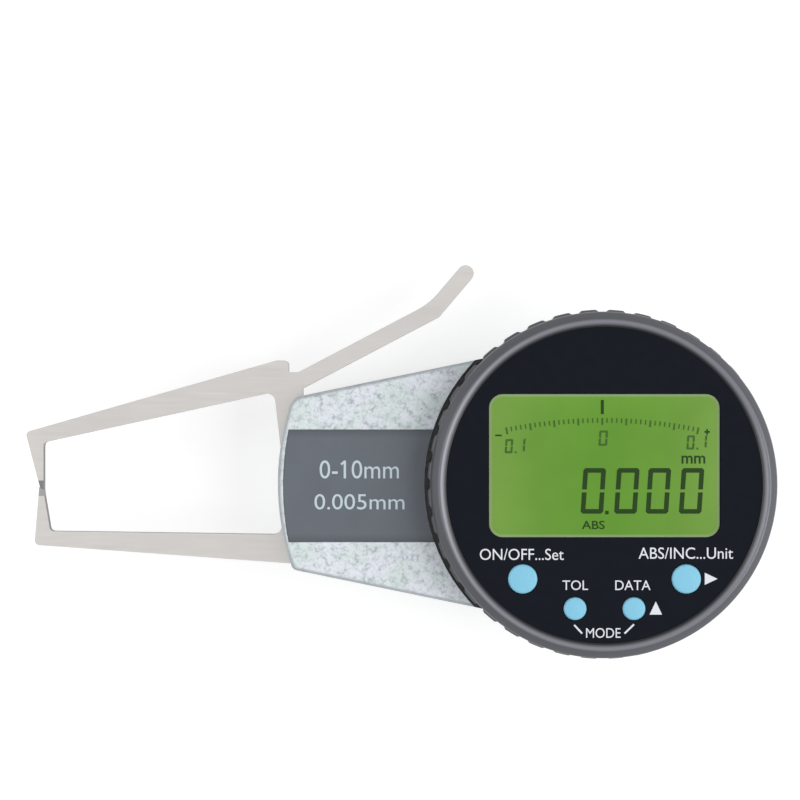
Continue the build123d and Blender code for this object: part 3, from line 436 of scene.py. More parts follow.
@dataclass(frozen=True)
class Ground(Finish):
    """Surface-ground metal: long fine scratches one way, a slow change of tone
    where it took the wheel differently, and, where a side colour is given,
    painted shade that darkens its upright sides. Real scratches are a hundredth
    of a millimetre wide, and they are drawn coarser to show."""

    scratch: Triple = (9.0, 0.16, 0.16)
    slow: float = 14.0
    contrast: float = 0.05
    gloss_change: float = 0.06
    depth: float = 0.002
    # painted shade on upright sides; an empty code gives none
    side: str = ""
    side_lean: Pair = (0.75, 0.3)

    def dress(self, nodes: Wiring) -> None:
        """Adds the scratches, the slow tone and the painted shade on the sides.

        Args:
            nodes: The material's nodes.
        """
        along = {"Vector": nodes.space(*self.scratch), "Scale": 1.0, "Detail": 4.0}
        lines = nodes.add("TexNoise", along)
        broad = {"Vector": nodes.space(self.slow), "Scale": 1.0, "Detail": 2.0}
        both = nodes.add("Math", {0: lines, 1: nodes.add("TexNoise", broad)}, operation="ADD")
        spread = (2 * NOISE_RANGE[0], 2 * NOISE_RANGE[1])
        tone = nodes.shade(both, self.contrast, self.colour, spread)
        # Painted shade darkens faces as they turn upright
        if self.side:
            tone = nodes.lay(nodes.level(), tone, self.side, limits(*self.side_lean))
        most, least = self.roughness + self.gloss_change, self.roughness - self.gloss_change
        change = limits(*NOISE_RANGE, most, least)
        gloss = nodes.add("MapRange", {"Value": lines, **change})
        nodes.feed(nodes.shader, {"Roughness": gloss})
        nodes.surface(tone, lines, self.depth)


@dataclass(frozen=True)
class Turned(Finish):
    """A ring finished on a lathe about the dial's axis: rounds as close together
    as the tool's feed, a painted highlight on the lip, painted shade and a painted
    reflection of the dark panel on the wall inside the lip, and painted shade on
    the fluted foot. The real feed is a tenth of a millimetre, and it is drawn
    coarser here so that it shows."""

    # painted highlight on the lip
    lip_highlight: str = "7E7F87"
    # painted shade and painted reflection of the dark panel on the wall inside the lip
    wall_shade: str = "101115"
    # painted shade on the fluted foot under the front ring
    foot: str = "505156"
    lip_fade: Pair = (28.3, 27.9)
    wall_fade: Pair = (27.6, 27.1)
    foot_fade: Pair = (18.5, 18.2)
    feed: float = 0.22
    contrast: float = 0.06
    depth: float = 0.003

    def dress(self, nodes: Wiring) -> None:
        """Adds the rounds, which depend on the radius and the height alone, and the painted
        highlight and shades.

        Args:
            nodes: The material's nodes.
        """
        radius, height = nodes.round_axis()
        # The radius counts twice, so that the two don't cancel on the front ring's slope
        along = nodes.add("Math", {0: radius, 1: 2.0, 2: height}, operation="MULTIPLY_ADD")
        rows = {"W": along, "Scale": 1 / self.feed, "Detail": 2.0}
        rounds = nodes.add("TexNoise", rows, noise_dimensions="1D")
        highlighted = nodes.lay(radius, self.colour, self.lip_highlight, limits(*self.lip_fade))
        wall_shaded = nodes.lay(radius, highlighted, self.wall_shade, limits(*self.wall_fade))
        foot_shaded = nodes.lay(height, wall_shaded, self.foot, limits(*self.foot_fade))
        nodes.surface(nodes.shade(rounds, self.contrast, foot_shaded), rounds, self.depth)


@dataclass(frozen=True)
class Crystal(Finish):
    """A reflective liquid crystal cell: a green that is yellower at its sides
    and its rim, lighter at the top, and cloudy over centimetres."""

    top: str = "70A33C"
    beside: str = "7AA24A"
    rim: str = "9FB488"
    rim_fade: Triple = (1.75, 2.15, 0.8)
    corner: float = 2.4
    middle: Pair = (0.0, 3.3)
    half_size: Pair = (19.7, 12.25)
    cloud: float = 9.0
    contrast: float = 0.05

    def dress(self, nodes: Wiring) -> None:
        """Adds the drift of colour over the window and the paler rim.

        Args:
            nodes: The material's nodes.
        """
        clouds = {"Vector": nodes.space(self.cloud), "Scale": 1.0, "Detail": 2.0}
        split = nodes.add("SeparateXYZ", {0: nodes.space(1.0)}).node.outputs
        steps, beyond = [], []
        for across, middle, half, power in zip(split, self.middle, self.half_size, (2.0, 3.0)):
            away = nodes.add("Math", {0: across, 1: middle}, operation="SUBTRACT")
            share = nodes.add("Math", {0: away, 1: half}, operation="DIVIDE")
            steps.append(nodes.add("Math", {0: share, 1: power}, operation="POWER"))
            reach = nodes.add("Math", {0: away}, operation="ABSOLUTE")
            past = nodes.add("Math", {0: reach, 1: half - self.corner}, operation="SUBTRACT")
            beyond.append(nodes.add("Math", {0: past, 1: 0.0}, operation="MAXIMUM"))
        toned = nodes.lay(steps[0], nodes.lay(steps[1], self.colour, self.top), self.beside)
        both = nodes.add("CombineXYZ", dict(enumerate(beyond)))
        out = nodes.add("VectorMath", {0: both}, "Value", operation="LENGTH")
        rimmed = nodes.lay(out, toned, self.rim, limits(*self.rim_fade))
        tone = nodes.shade(nodes.add("TexNoise", clouds), self.contrast, rimmed, NOISE_RANGE)
        nodes.feed(nodes.shader, {"Base Color": tone})


# Hammer-effect stoving paint, sprayed: it hides a rough casting under glossy blisters
HAMMER_PAINT = Hammertone("hammertone_stoved_paint", Slot.CASTING, "E8EDF5", 0.34)
# Satin stoving paint on pressed aluminium: even and soft, with no blisters
COVER_PAINT = Grained("cover_satin_paint", Slot.COVER, "B9BEC3", 0.5, grain=0.5, contrast=0.03)
# Anodised aluminium foil: a flat blue grey, with painted shade towards the walls of its recess
LABEL_FILM = Foil(
    "label_anodised_foil", Slot.LABEL, "61676F", 0.45, grain=0.25, contrast=0.03, depth=0.001
)
# Ground stainless sheet: warm and bright on its faces, with painted shade on its cut sides
STAINLESS = Ground(
    "stainless_surface_ground", Slot.ARM_PLATE, "C5C2BF", 0.36, 1.0, side="5C5957"
)
TIP_SCRATCH = (0.3, 1.2, 0.3)  # short, and across the arms
# Sintered tungsten carbide, ground: the same gloss as steel, but darker, with painted shade on its
# sides
CARBIDE = Ground(
    "carbide_ground", Slot.CONTACT, "7E7E7D", 0.3, 1.0, scratch=TIP_SCRATCH, side="3A3A3A"
)
# Hardened tool steel, lapped: the smoothest metal here, with the faintest lines and painted shade
# on its sides
TIP_STEEL = Ground(
    "tip_steel_lapped", Slot.CONTACT, "A3A2A1", 0.25, 1.0, scratch=TIP_SCRATCH, side="4A4847"
)
# Moulded polymer with metal flake, turned: a soft metal look without mirror images
BEZEL = Turned("bezel_flake_polymer_turned", Slot.BEZEL, "515258", 0.33, 0.2)
# Cast acrylic over a dark backing: nearly black, with a trace of navy
PANEL = Grained(
    "panel_cast_acrylic_gloss", Slot.PANEL, "12161F", 0.2, 0.0, 0.08, 2.2, 0.10, 0.0
)
# Liquid crystal cell over a green reflector: flat light from behind, no depth
CRYSTAL = Crystal("display_crystal_cell", Slot.DISPLAY, "669936", 0.3, 0.0, 0.15)
# Moulded silicone, translucent and pigmented: an even pale blue with a skin-like gloss
KEY_SILICONE = Grained(
    "key_moulded_silicone", Slot.KEY, "8ACEEA", 0.45, 0.0, 0.35, grain=0.6, contrast=0.03
)
# Screen-printed enamel ink: opaque, matt, and a little raised
WHITE_INK = Grained("ink_screen_white", Slot.PANEL, "E9EDF3", 0.5, 0.0, 0.2, 0.3, 0.04, 0.001)
# The same ink on foil, where the metal below cools it
LABEL_INK = Grained("ink_label_white", Slot.LABEL, "CBDAE2", 0.5, 0.0, 0.2, 0.3, 0.04, 0.001)
# Crystal that is switched on: dark olive, never quite black
SEGMENT_INK = Grained(
    "segment_dark_crystal", Slot.DISPLAY, "2A4320", 0.4, 0.0, 0.1, 0.5, 0.10, 0.0
)
# Crystal seen in thin bars, which let more of the green through
FAINT_INK = Grained(
    "segment_faint_crystal", Slot.DISPLAY, "46692E", 0.4, 0.0, 0.1, 0.5, 0.12, 0.0
)
# Zinc-plated steel: a bluish, slightly cloudy brightness
SCREW_STEEL = Ground("screw_zinc_plated", Slot.SCREW, "9EA2A8", 0.38, 1.0, scratch=(0.4,) * 3)
# Bearing steel, centreless ground: bright, with rounds across its length
PIN_STEEL = Ground("pin_steel_ground", Slot.PIN, "A7A8A9", 0.28, 1.0, scratch=(0.2, 0.2, 3.0))
# Spring wire and strip, drawn and blued off: dark and smooth
SPRING_STEEL = Ground(
    "spring_steel_drawn", Slot.SPRING, "8B8D90", 0.3, 1.0, scratch=(0.2, 2.0, 0.2)
)
# Mild steel plate, blanked and deburred: matt, with long faint lines
PLATE_STEEL = Ground("plate_steel_blanked", Slot.PLATE, "B0B0AE", 0.42, 1.0)
# Clock brass, stamped: yellow and satin
BRASS = Ground("brass_stamped", Slot.MOVEMENT, "C9A75A", 0.32, 1.0, scratch=(0.3, 0.3, 2.0))
# Glass-epoxy laminate under solder resist: dark green with the weave just showing
LAMINATE = Grained("board_glass_epoxy", Slot.BOARD, "1C4F2C", 0.4, grain=0.35, contrast=0.10)
# Moulded epoxy: matt black with a sandy skin
CHIP_RESIN = Grained("chip_moulded_epoxy", Slot.CHIP, "17181A", 0.55, grain=0.2)
# Moulded nylon: an ivory that is never quite even
SOCKET_RESIN = Grained("connector_moulded_nylon", Slot.CONNECTOR, "DAD5C4", 0.5, grain=0.3)
# Polyimide film: amber and glossy
RIBBON = Grained("ribbon_polyimide_film", Slot.RIBBON, "C17F2B", 0.3, grain=1.0)
# Moulded ABS, spark-eroded mould: dark with a fine even grain
FRAME_RESIN = Grained("frame_moulded_abs", Slot.FRAME, "242528", 0.5, grain=0.3)
# Moulded rubber: black, dusty and without gloss
STRIP_RUBBER = Grained(
    "seal_moulded_rubber", Slot.STRIP, "1A1A1B", 0.7, grain=0.3, contrast=0.12
)
# The same rubber on an outer face, where handling leaves it a little greyer
PLUG_RUBBER = Grained(
    "plug_moulded_rubber", Slot.PORT, "2B2C2E", 0.62, grain=0.35, contrast=0.12, depth=0.01
)
# Nickel-plated steel can, deep drawn: the brightest metal here
CELL_STEEL = Ground("cell_nickel_plated", Slot.CELL, "C4C4C2", 0.25, 1.0, scratch=(0.5,) * 3)
# Moulded ABS with a coarser grain, so that a coin's slips don't show
CAP_RESIN = Grained("cap_moulded_abs", Slot.CAP, "3C3D41", 0.5, grain=0.35, depth=0.01)


@cache
def material_of(finish: Finish) -> bpy.types.Material:
    """A finish's material, made once, when it is first asked for."""
    return finish.build()


def settle(
    mesh: bpy.types.Mesh,
    name: str,
    finish: Finish,
    body: Body,
    replaced: tuple[str, ...] = (),
    sharp: float = 25.0,
) -> None:
    """Makes a mesh a piece of the gauge: welded, shaded, dressed and riding.

    Args:
        mesh: The mesh, in metres in the part's frame.
        name: The piece's name.
        finish: Its finish.
        body: The body that it rides on.
        replaced: CAD nodes that it stands for.
        sharp: Degrees between faces above which an edge stays sharp.
    """
    shape = bmesh.new()
    shape.from_mesh(mesh)
    bmesh.ops.remove_doubles(shape, verts=shape.verts, dist=WELD * MM)
    shape.to_mesh(mesh)
    shape.free()
    mesh.shade_smooth()
    mesh.set_sharp_from_angle(angle=radians(sharp))
    mesh.materials.clear()
    mesh.materials.append(material_of(finish))
    piece = bpy.data.objects.new(name, mesh)
    bpy.context.scene.collection.objects.link(piece)
    weighted = piece.modifiers.new("broad_faces_stay_flat", "WEIGHTED_NORMAL")
    weighted.keep_sharp = True
    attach(piece, body.value)
    if replaced:
        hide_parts(*replaced)
    LOG.info("%s: %d faces on %s", name, len(mesh.polygons), body.value)


def mesh_from(name: str, points: np.ndarray, faces: list[np.ndarray]) -> bpy.types.Mesh:
    """A mesh from arrays.

    Args:
        name: The mesh's name.
        points: Corners in millimetres, one row each.
        faces: Arrays of corner numbers, each with one row for each face.

    Returns:
        The new mesh, in metres.
    """
    mesh = bpy.data.meshes.new(name)
    rows = [row for table in faces for row in table.tolist()]
    mesh.from_pydata((points * MM).tolist(), [], rows)
    return mesh


def round_profile(corners: np.ndarray, reach: np.ndarray, steps: int) -> np.ndarray:
    """Rounds the corners of a closed outline.

    Each corner P becomes the parabola from A to B, where A and B lie the
    corner's reach before and after it: the point at a share s is
    (1 - s)^2 A + 2 s (1 - s) P + s^2 B.

    Args:
        corners: The outline's corners, one row each.
        reach: How far from each corner its rounding starts.
        steps: Points on each rounding.

    Returns:
        The rounded outline, one row for each point.
    """
    back = np.roll(corners, 1, axis=0) - corners
    ahead = np.roll(corners, -1, axis=0) - corners
    back /= np.linalg.norm(back, axis=1, keepdims=True)
    ahead /= np.linalg.norm(ahead, axis=1, keepdims=True)
    start = (corners + back * reach[:, None])[:, None]
    end = (corners + ahead * reach[:, None])[:, None]
    share = np.linspace(0, 1, steps)[None, :, None]
    bend = 2 * share * (1 - share) * corners[:, None]
    return ((1 - share) ** 2 * start + bend + share**2 * end).reshape(-1, 2)


def spin(profile: np.ndarray, turns: np.ndarray, middle: Pair = (0.0, 0.0)) -> np.ndarray:
    """Carries a closed profile round an upright axis.

    The point at a turn t has X = middle + r cos t, Y = middle + r sin t and
    Z = z, for each radius r and height z of the profile.

    Args:
        profile: Radius and height, one row each, or one table for each turn.
        turns: The turns, in radians.
        middle: The axis's place.

    Returns:
        Points with one row for each turn and one column for each profile point.
    """
    radius = np.broadcast_to(profile[..., 0], (len(turns), profile.shape[-2]))
    height = np.broadcast_to(profile[..., 1], radius.shape)
    across = middle[0] + radius * np.cos(turns)[:, None]
    along = middle[1] + radius * np.sin(turns)[:, None]
    return np.stack([across, along, height], axis=-1)


def closed_grid(name: str, points: np.ndarray, ring: bool = True) -> bpy.types.Mesh:
    """A closed surface from a grid whose rows go round an axis.

    Args:
        name: The mesh's name.
        points: Points in millimetres by turn and by place on the profile. The
            profile runs anticlockwise as seen with its radius to the right.
        ring: Whether the profile closes too. One that starts and ends on the
            axis does not, and its two ends close in a point.

    Returns:
        The mesh, with its faces pointing outwards.
    """
    rows, columns = points.shape[:2]
    row = np.arange(rows)[:, None]
    column = np.arange(columns if ring else columns - 1)[None, :]
    here = row * columns + column
    beside = row * columns + (column + 1) % columns
    after = (row + 1) % rows * columns + column
    across = (row + 1) % rows * columns + (column + 1) % columns
    quads = np.stack([here, after, across, beside], axis=-1).reshape(-1, 4)
    return mesh_from(name, points.reshape(-1, 3), [quads])


def prisms(name: str, outlines: np.ndarray, level: float, rise: float = 0.0) -> bpy.types.Mesh:
    """Flat print as closed plates of one number of corners each.

    Args:
        name: The mesh's name.
        outlines: Corners in millimetres by plate and by corner, anticlockwise.
        level: Height of the surface that they are printed on.
        rise: How much higher than other print they stand.

    Returns:
        The mesh of all the plates.
    """
    plates, corners = outlines.shape[:2]
    heights = np.array([level - PRINT_SINK, level + PRINT_HEIGHT + rise])[None, :, None, None]
    flat = np.broadcast_to(outlines[:, None], (plates, 2, corners, 2))
    upright = np.broadcast_to(heights, (plates, 2, corners, 1))
    points = np.concatenate([flat, upright], axis=-1)
    under = (np.arange(plates) * 2 * corners)[:, None] + np.arange(corners)[None, :]
    top = under + corners
    sides = np.stack([under, np.roll(under, -1, 1), np.roll(top, -1, 1), top], axis=-1)
    return mesh_from(name, points.reshape(-1, 3), [sides.reshape(-1, 4), under[:, ::-1], top])


def lettering(
    name: str, words: str, box: Box, level: float, weight: float = 0.0
) -> bpy.types.Mesh:
    """Flat print that fills a box, as closed plates.

    Args:
        name: The mesh's name.
        words: What it says.
        box: The box that it fills, in millimetres.
        level: Height of the surface that it is printed on.
        weight: Thickening of the strokes, as a share of the letters' size.

    Returns:
        The mesh of the print.
    """
    curve = bpy.data.curves.new(name, "FONT")
    curve.body = words
    curve.extrude = 0.5
    curve.offset = weight
    curve.resolution_u = 4
    holder = bpy.data.objects.new(name, curve)
    bpy.context.scene.collection.objects.link(holder)
    evaluated = holder.evaluated_get(bpy.context.evaluated_depsgraph_get())
    mesh = bpy.data.meshes.new_from_object(evaluated)
    bpy.data.objects.remove(holder)
    bpy.data.curves.remove(curve)
    flat = np.empty(len(mesh.vertices) * 3)
    mesh.vertices.foreach_get("co", flat)
    points = flat.reshape(-1, 3)
    first, last = points.min(axis=0), points.max(axis=0)
    near = np.array([box[0], box[2], level - PRINT_SINK])
    far = np.array([box[1], box[3], level + PRINT_HEIGHT])
    points = near + (points - first) / (last - first) * (far - near)
    mesh.vertices.foreach_set("co", (points * MM).ravel())
    return mesh


def stroke(ends: np.ndarray, width: float) -> np.ndarray:
    """Outlines of straight strokes.

    Args:
        ends: Start and end of each stroke, by stroke and by end.
        width: The strokes' width.

    Returns:
        Four corners for each stroke, anticlockwise.
    """
    start, end = ends[:, 0], ends[:, 1]
    line = (end - start) / np.linalg.norm(end - start, axis=1, keepdims=True)
    side = np.stack([-line[:, 1], line[:, 0]], axis=1) * width / 2
    return np.stack([start - side, end - side, end + side, start + side], axis=1)


def bare_copy(mesh: bpy.types.Mesh) -> bpy.types.Mesh:
    """A copy of a mesh's corners and faces, without the shading it came with.

    Args:
        mesh: The mesh to copy, in metres.

    Returns:
        The copy.
    """
    points = np.empty(len(mesh.vertices) * 3)
    mesh.vertices.foreach_get("co", points)
    corners = np.empty(len(mesh.loops), dtype=int)
    mesh.loops.foreach_get("vertex_index", corners)
    return mesh_from(mesh.name, points.reshape(-1, 3) / MM, [corners.reshape(-1, 3)])


@dataclass
class Copies:
    """CAD nodes whose shape stays and whose facets are smoothed in a copy."""

    plain: dict[str, tuple[Finish, Body]] = field(
        default_factory=lambda: {
            "body_casting": (HAMMER_PAINT, Body.GAUGE),
            "rear_cover": (COVER_PAINT, Body.GAUGE),
            "rear_cover_screws": (SCREW_STEEL, Body.GAUGE),
            "label_plate": (LABEL_FILM, Body.GAUGE),
            "fixed_arm": (STAINLESS, Body.GAUGE),
            "fixed_contact": (TIP_STEEL, Body.GAUGE),
            "moving_arm": (STAINLESS, Body.ARM),
            "moving_contact": (CARBIDE, Body.ARM),
            "front_panel": (PANEL, Body.HEAD),
            "display_glass": (CRYSTAL, Body.HEAD),
            "battery_cap": (CAP_RESIN, Body.LID),
            "battery_cap_seal": (STRIP_RUBBER, Body.LID),
            "port_cover": (PLUG_RUBBER, Body.PLUG),
        }
    )

    def build(self) -> None:
        """Makes each copy and lets it stand for its node."""
        for node, (finish, body) in self.plain.items():
            settle(bare_copy(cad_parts[node].data), f"{node}_skin", finish, body, (node,))


@dataclass
class Inside:
    """CAD nodes that keep their shape and get a finish: those behind the covers,
    and the bezel's and the keys', which finer pieces stand for."""

    names: dict[Finish, str] = field(
        default_factory=lambda: {
            KEY_SILICONE: "on_off_key abs_key tolerance_key data_key",
            BEZEL: "bezel_ring",
            CELL_STEEL: "battery",
            FRAME_RESIN: "battery_holder data_socket display_frame",
            STRIP_RUBBER: "contact_strips",
            LAMINATE: "display_board rotor_disc stator_board",
            CHIP_RESIN: "measuring_chip",
            SOCKET_RESIN: "display_connector stator_connector",
            RIBBON: "display_flex",
            PLATE_STEEL: "main_plate",
            SPRING_STEEL: "battery_contact head_snap_ring key_switches return_spring",
            PIN_STEEL: "fixed_arm_spacers pinion_arbor pivot_pin spring_pin spring_post",
            BRASS: "front_arbor_bush rear_arbor_bush front_pivot_bush rear_pivot_bush"
            " sector_gear sector_rivets",
            SCREW_STEEL: "battery_holder_screws display_screws fixed_arm_screws"
            " main_plate_screws stator_board_screws",
        }
    )

    def build(self) -> None:
        """Puts each finish in its nodes' material slots."""
        for finish, names in self.names.items():
            for node in names.split():
                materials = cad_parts[node].data.materials
                materials.clear()
                materials.append(material_of(finish))
                LOG.info("%s: dressed as %s", node, finish.name)


@dataclass
class BezelRing:
    """The turning bezel: a fluted skirt, a smooth front ring and a bright lip."""

    rear: float = 15.5
    front: float = 22.5
    skirt_bore: float = 26.09
    flute_radius: float = 30.0
    flute_front: float = 18.3
    ring_radius: float = 29.55
    ring_shoulder: float = 21.2
    lip_edge: float = 28.2
    lip_crest: float = 27.85
    lip_wall: Pair = (27.45, 22.25)
    lip_toe: float = 26.9
    toe_rear: float = 21.82
    toe_front: float = 21.88
    lip_bore: float = 27.15
    ledge_bore: float = 24.6
    ledge_rear: float = 19.2
    ledge_front: float = 20.4
    chamfer: float = 0.35
    flutes: int = 40
    cutter: float = 1.3
    cut: float = 0.55
    softness: float = 0.08
    steps_per_flute: int = 24
    steps_per_corner: int = 6
    sharp: float = 40.0

    def groove(self, turns: np.ndarray) -> np.ndarray:
        """The radius that the flutes leave at each turn.

        A cutter of radius c stands at the distance d from the axis, so at the
        angle a from its middle it leaves d cos a - sqrt(c^2 - d^2 sin^2 a).

        Args:
            turns: The turns, in radians.

        Returns:
            The radius left, in millimetres, or a large one on the crowns.
        """
        pitch = 2 * np.pi / self.flutes
        angle = (turns + pitch / 2) % pitch - pitch / 2
        distance = self.flute_radius - self.cut + self.cutter
        inside = self.cutter**2 - (distance * np.sin(angle)) ** 2
        left = distance * np.cos(angle) - np.sqrt(np.clip(inside, 0, None))
        return np.where(inside > 0, left, self.flute_radius + 1)

    def outline(self) -> np.ndarray:
        """The ring's section.

        Returns:
            Radius and height of each corner, and how far from it its rounding
            starts, one row each, anticlockwise.
        """
        edge = self.flute_radius - self.chamfer
        return np.array(
            [
                (self.skirt_bore, self.rear, 0.1),
                (edge, self.rear, 0.12),
                (self.flute_radius, self.rear + self.chamfer, 0.16),
                (self.flute_radius, self.flute_front - self.chamfer, 0.16),
                (edge, self.flute_front, 0.07),
                (self.ring_radius, self.flute_front, 0.07),
                (self.ring_radius, self.ring_shoulder, 0.5),
                (self.lip_edge, self.front, 0.2),
                (self.lip_crest, self.front, 0.18),
                (*self.lip_wall, 0.15),
                (self.lip_toe, self.toe_front, 0.02),
                (self.lip_toe, self.toe_rear, 0.02),
                (self.lip_bore, self.toe_rear, 0.1),
                (self.lip_bore, self.ledge_front, 0.1),
                (self.ledge_bore, self.ledge_front, 0.1),
                (self.ledge_bore, self.ledge_rear, 0.1),
                (self.skirt_bore, self.ledge_rear, 0.1),
            ]
        )

    def build(self) -> None:
        """Makes the ring: its section, held inside the flutes at each turn by a
        smooth minimum of the groove's radius g and the section's radius r, so
        that the crowns' edges are rounded. At a share s between the two it is
        g (1 - s) + r s - softness s (1 - s)."""
        outline = self.outline()
        profile = round_profile(outline[:, :2], outline[:, 2], self.steps_per_corner)
        turns = np.linspace(0, 2 * np.pi, self.flutes * self.steps_per_flute, endpoint=False)
        groove = self.groove(turns)[:, None]
        radius = profile[None, :, 0]
        share = np.clip(0.5 + 0.5 * (groove - radius) / self.softness, 0, 1)
        smooth = groove * (1 - share) + radius * share - self.softness * share * (1 - share)
        height = np.broadcast_to(profile[None, :, 1], smooth.shape)
        fluted = np.where(height <= self.flute_front, smooth, radius)
        mesh = closed_grid("bezel", spin(np.stack([fluted, height], axis=-1), turns))
        settle(mesh, "bezel_fluted", BEZEL, Body.HEAD, ("bezel_ring",), self.sharp)


@dataclass
class Keys:
    """Four moulded keys with a shallow crown and a flange under the panel."""

    rear: float = 19.45
    flange_front: float = 20.25
    front: float = 22.2
    flange: float = 0.35
    edge: float = 0.45
    crown: float = 0.12
    large: float = 2.5
    small: float = 1.95
    steps: int = 96
    edge_steps: int = 8
    crown_steps: int = 10
    sharp: float = 50.0

    def profile(self, radius: float) -> np.ndarray:
        """The outline of one key from its axis out and back.

        Its edge is a quarter circle. Its crown is a parabola, which at a radius
        r lies crown (r / flat)^2 below the front.

        Args:
            radius: The key's radius above its flange.

        Returns:
            Radius and height, one row each, anticlockwise.
        """
        flat = radius - self.edge
        turn = np.linspace(0, np.pi / 2, self.edge_steps)
        rise = self.front - self.crown - self.edge + self.edge * np.sin(turn)
        rounding = np.stack([flat + self.edge * np.cos(turn), rise], axis=-1)
        inner = np.linspace(flat, 0, self.crown_steps)[1:]
        dome = np.stack([inner, self.front - self.crown * (inner / flat) ** 2], axis=-1)
        foot = [
            (0, self.rear),
            (radius + self.flange, self.rear),
            (radius + self.flange, self.flange_front),
            (radius, self.flange_front),
        ]
        return np.concatenate([foot, rounding, dome])

    def build(self) -> None:
        """Makes each key on the middle of its CAD node."""
        turns = np.linspace(0, 2 * np.pi, self.steps, endpoint=False)
        for node, radius, body in (
            ("on_off_key", self.large, Body.ON_OFF),
            ("abs_key", self.large, Body.ABSOLUTE),
            ("tolerance_key", self.small, Body.TOLERANCE),
            ("data_key", self.small, Body.DATA),
        ):
            low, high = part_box(node)
            middle = ((low.x + high.x) / 2 / MM, (low.y + high.y) / 2 / MM)
            mesh = closed_grid(node, spin(self.profile(radius), turns, middle), False)
            settle(mesh, f"{node}_cap", KEY_SILICONE, body, (node,), self.sharp)


